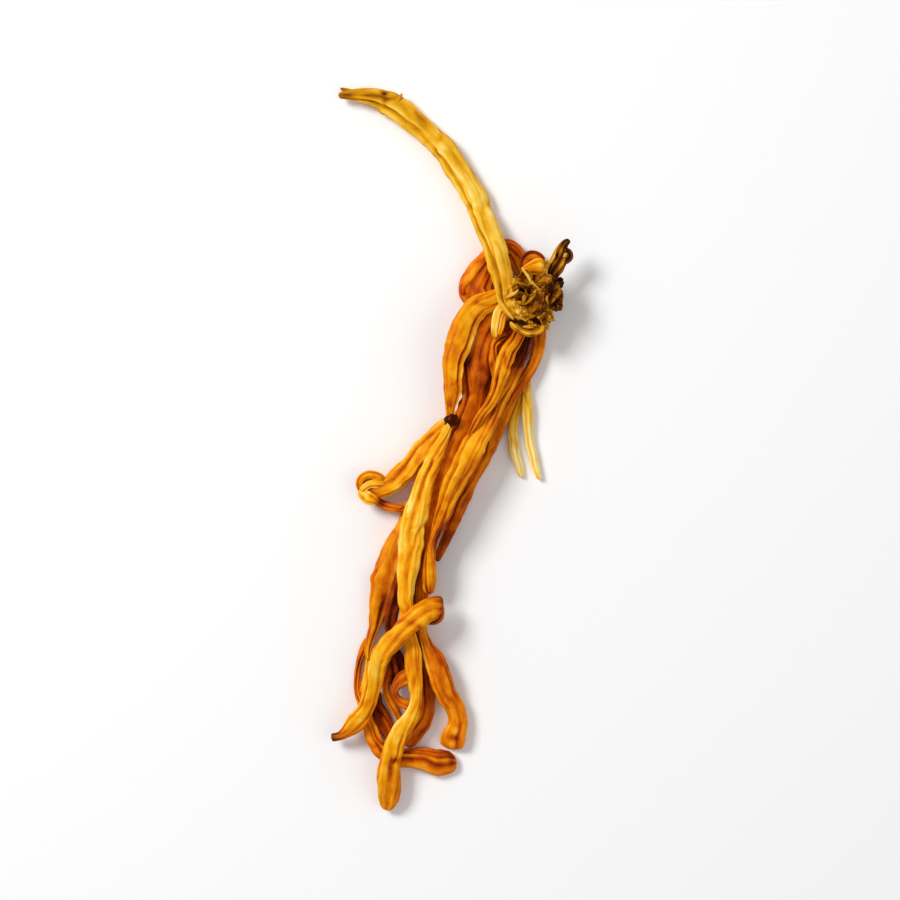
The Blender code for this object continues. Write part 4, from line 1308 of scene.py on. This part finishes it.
# Noises: (scale, strength)
CRACKS = (1.4, 0.10)
ROUGH = [(1.5, 0.32), (5.0, 0.14)]
PITS = (9.0, 0.05)
PATCHES = (2.2, 0.3)
# Painted light and shade: a flake's raised parts are paler, and its pits and cracks darker.
CRACK_PAINTED_SHADE = 0.18
ROUGH_PAINTED_LIGHT_AND_SHADE = 0.5


def flake(bm, centre, size, tone, seed, splits=3, heading=None):
    """A rough lump. size is its half-length along its own axes. With no heading it lies at random."""
    rng = np.random.default_rng(seed)
    shift = Vector(rng.uniform(-50, 50, 3))
    turn = Euler(rng.uniform(0, 2 * math.pi, 3)).to_matrix()
    if heading is not None:
        turn = Euler((*rng.uniform(-TIPPING, TIPPING, 2), math.radians(heading))).to_matrix()
    made = bmesh.ops.create_icosphere(bm, subdivisions=splits, radius=1)["verts"]
    tone_layer = bm.verts.layers.float["tone"]
    grain_layer = bm.verts.layers.float_vector["grain"]
    for vert in made:
        near = noise.voronoi(vert.co * CRACKS[0] + shift)[0]
        crack = max(0.0, 1 - (near[1] - near[0]) / CRACK_REACH)
        rough = sum(strength * noise.noise(vert.co * scale + shift) for scale, strength in ROUGH)
        rough -= CRACKS[1] * crack + PITS[1] * abs(noise.noise(vert.co * PITS[0] + shift))
        patch = PATCHES[1] * noise.noise(vert.co * PATCHES[0] - shift)
        # Painted light and shade from the relief. The patches are the crust's own uneven colour.
        vert[tone_layer] = tone + ROUGH_PAINTED_LIGHT_AND_SHADE * rough - CRACK_PAINTED_SHADE * crack + patch
        vert[grain_layer] = vert.co + shift
        vert.co = centre + turn @ Vector(a * b * (1 + rough) for a, b in zip(vert.co, size))
        vert.co.z = min(max(vert.co.z, 0), CEILING)


# %% [markdown]
# ## The base knot
# The core is a brown lump. On it stand the stumps, the larger flakes, each put where it belongs, and a
# scatter of crumbs: straw-coloured on the side of the long yellow strand, dark and woody on the far side.

# %% Place the stumps and the large flakes
knot_low, knot_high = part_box("base_knot")
knot_centre = (knot_low + knot_high) / 2
knot_reach = (knot_high - knot_low) / 2


def on_plan(x, y, z):
    """A place given in millimetres on the routes' own plan."""
    return Vector((x * MM + PLAN_SHIFT[0], y * MM + PLAN_SHIFT[1], z * MM))


STUMPS = [
    # foot, head, radius, tone
    ((8.9, 19.0, 3.4), (8.3, 19.8, 6.3), 1.0, 0.6),
    ((9.2, 17.9, 3.8), (9.0, 18.3, 6.2), 0.6, 0.5),
    ((8.3, 16.9, 3.6), (7.9, 17.5, 6.0), 0.75, 0.66),
    ((10.7, 16.2, 2.6), (11.0, 14.9, 4.8), 0.85, 0.66),
    ((11.0, 17.6, 2.8), (12.1, 17.5, 4.9), 0.85, 0.36),
    ((11.2, 18.8, 2.8), (12.3, 19.1, 4.7), 0.75, 0.22),
    ((10.5, 17.0, 3.6), (11.1, 17.3, 5.9), 0.65, 0.5),
]
FLAKES = [
    # centre, half-lengths, heading in degrees, tone
    ((7.5, 16.2, 4.7), (1.7, 0.9, 0.8), -50, 0.74),
    ((6.9, 18.3, 4.7), (1.2, 0.7, 0.8), 60, 0.64),
    ((9.6, 16.6, 5.2), (1.6, 0.8, 0.5), 55, 0.4),
    ((8.5, 14.9, 4.5), (1.5, 0.6, 0.3), -8, 0.06),
    ((7.4, 19.4, 5.7), (0.45, 0.35, 0.4), 20, 0.84),
    ((11.3, 19.0, 4.4), (1.3, 1.1, 1.0), 20, 0.18),
    ((9.7, 20.4, 4.6), (1.4, 0.7, 0.9), -10, 0.5),
    ((12.1, 17.9, 3.9), (0.9, 0.8, 0.9), 80, 0.4),
    ((11.0, 15.9, 4.2), (1.1, 0.6, 0.6), -70, 0.68),
    ((10.8, 20.9, 4.8), (1.1, 0.3, 0.6), 80, 0.84),
    ((10.4, 19.4, 5.3), (1.3, 0.8, 0.5), 15, 0.5),
    ((10.2, 18.0, 5.2), (1.1, 0.7, 0.6), 60, 0.4),
    ((12.3, 16.6, 3.4), (0.7, 0.6, 0.7), 70, 0.4),
    ((9.2, 14.0, 3.4), (1.6, 0.7, 1.4), -5, 0.56),
    ((7.2, 16.5, 5.2), (0.9, 0.6, 0.4), -55, 0.76),
    ((10.3, 16.0, 5.2), (0.9, 0.3, 0.3), 60, 0.3),
    ((10.8, 14.4, 3.4), (0.7, 0.5, 0.9), -50, 0.66),
    ((13.1, 22.4, 4.5), (0.3, 0.2, 0.2), 60, 0.86),
    ((8.5, 15.8, 5.0), (1.2, 0.6, 0.4), -25, 0.72),
    ((12.3, 19.2, 4.7), (0.7, 0.6, 0.4), 30, 0.08),
]
CORE_SIZE = Vector((2.5, 3.3, 2.7)) * MM
CORE_DROP = Vector((0, 0, 0.5 * MM))
FIRST_FLAKE_SEED = 50

knot = new_skin()
flake(knot, knot_centre - CORE_DROP, CORE_SIZE, 0.36, seed=3, splits=5)
for seed, (foot, head, radius, tone) in enumerate(STUMPS):
    stump(knot, on_plan(*foot), on_plan(*head), radius * MM, tone, seed)
for seed, (centre, size, heading, tone) in enumerate(FLAKES, FIRST_FLAKE_SEED):
    flake(knot, on_plan(*centre), Vector(size) * MM, tone, seed, splits=4, heading=heading)
print("stumps and flakes:", len(STUMPS) + len(FLAKES))

# %% [markdown]
# The crumbs are scattered over the core by a seeded random draw, so that they fall in the same places
# each time.

# %% Scatter the crumbs
CRUMBS = 60
FIRST_CRUMB_SEED = 100
SMALLEST = (0.3, 0.22, 0.14)  # half-lengths, in millimetres
LARGEST = (0.75, 0.5, 0.35)
RISES = (-0.75, 0.9)  # the sine of the lowest and of the highest crumb's angle
NEARNESS = (0.68, 0.86)  # how far out a crumb lies, as a share of the knot
CRUMB_TONE = 0.54
DARKER_SIDE = 0.22
TONE_SPREAD = 0.2

rng = np.random.default_rng(17)
for seed in range(FIRST_CRUMB_SEED, FIRST_CRUMB_SEED + CRUMBS):
    turn = rng.uniform(0, 2 * math.pi)
    rise = rng.uniform(*RISES)
    out = math.sqrt(1 - rise * rise)
    direction = Vector((math.cos(turn) * out, math.sin(turn) * out, rise))
    centre = knot_centre + Vector(a * b * rng.uniform(*NEARNESS) for a, b in zip(direction, knot_reach))
    size = Vector(rng.uniform(SMALLEST, LARGEST)) * MM
    tone = CRUMB_TONE - DARKER_SIDE * direction.x + rng.uniform(-TONE_SPREAD, TONE_SPREAD)
    flake(knot, centre, size, tone, seed)
knot = finished("base_knot_crust", knot, "knot_crust")
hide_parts("base_knot")
print("knot:", len(knot.data.polygons), "faces")

# %% [markdown]
# ## The dark scar
# Where the outer strand bends back, its skin is pinched into a small dark scab.

# %% Press the scar in
SCAR_PLAN = (-0.1, 3.3)
SCAR_SIZE = Vector((0.85, 0.72, 0.5)) * MM
SUNK = 0.05 * MM

gold_rows = smooth_rows(STRANDS["gold_strand"]["route"], STEP)
gold_middle, gold_half = heights_on_frame("gold_strand", gold_rows)
scar_centre = on_plan(*SCAR_PLAN, 0) + Vector((0, 0, gold_middle[0] + gold_half[0] - SUNK))
scar = new_skin()
flake(scar, scar_centre, SCAR_SIZE, 0.07, seed=5, splits=4, heading=30)
scar = finished("dark_scar", scar, "red_flesh")
print("scar:", len(scar.data.polygons), "faces")
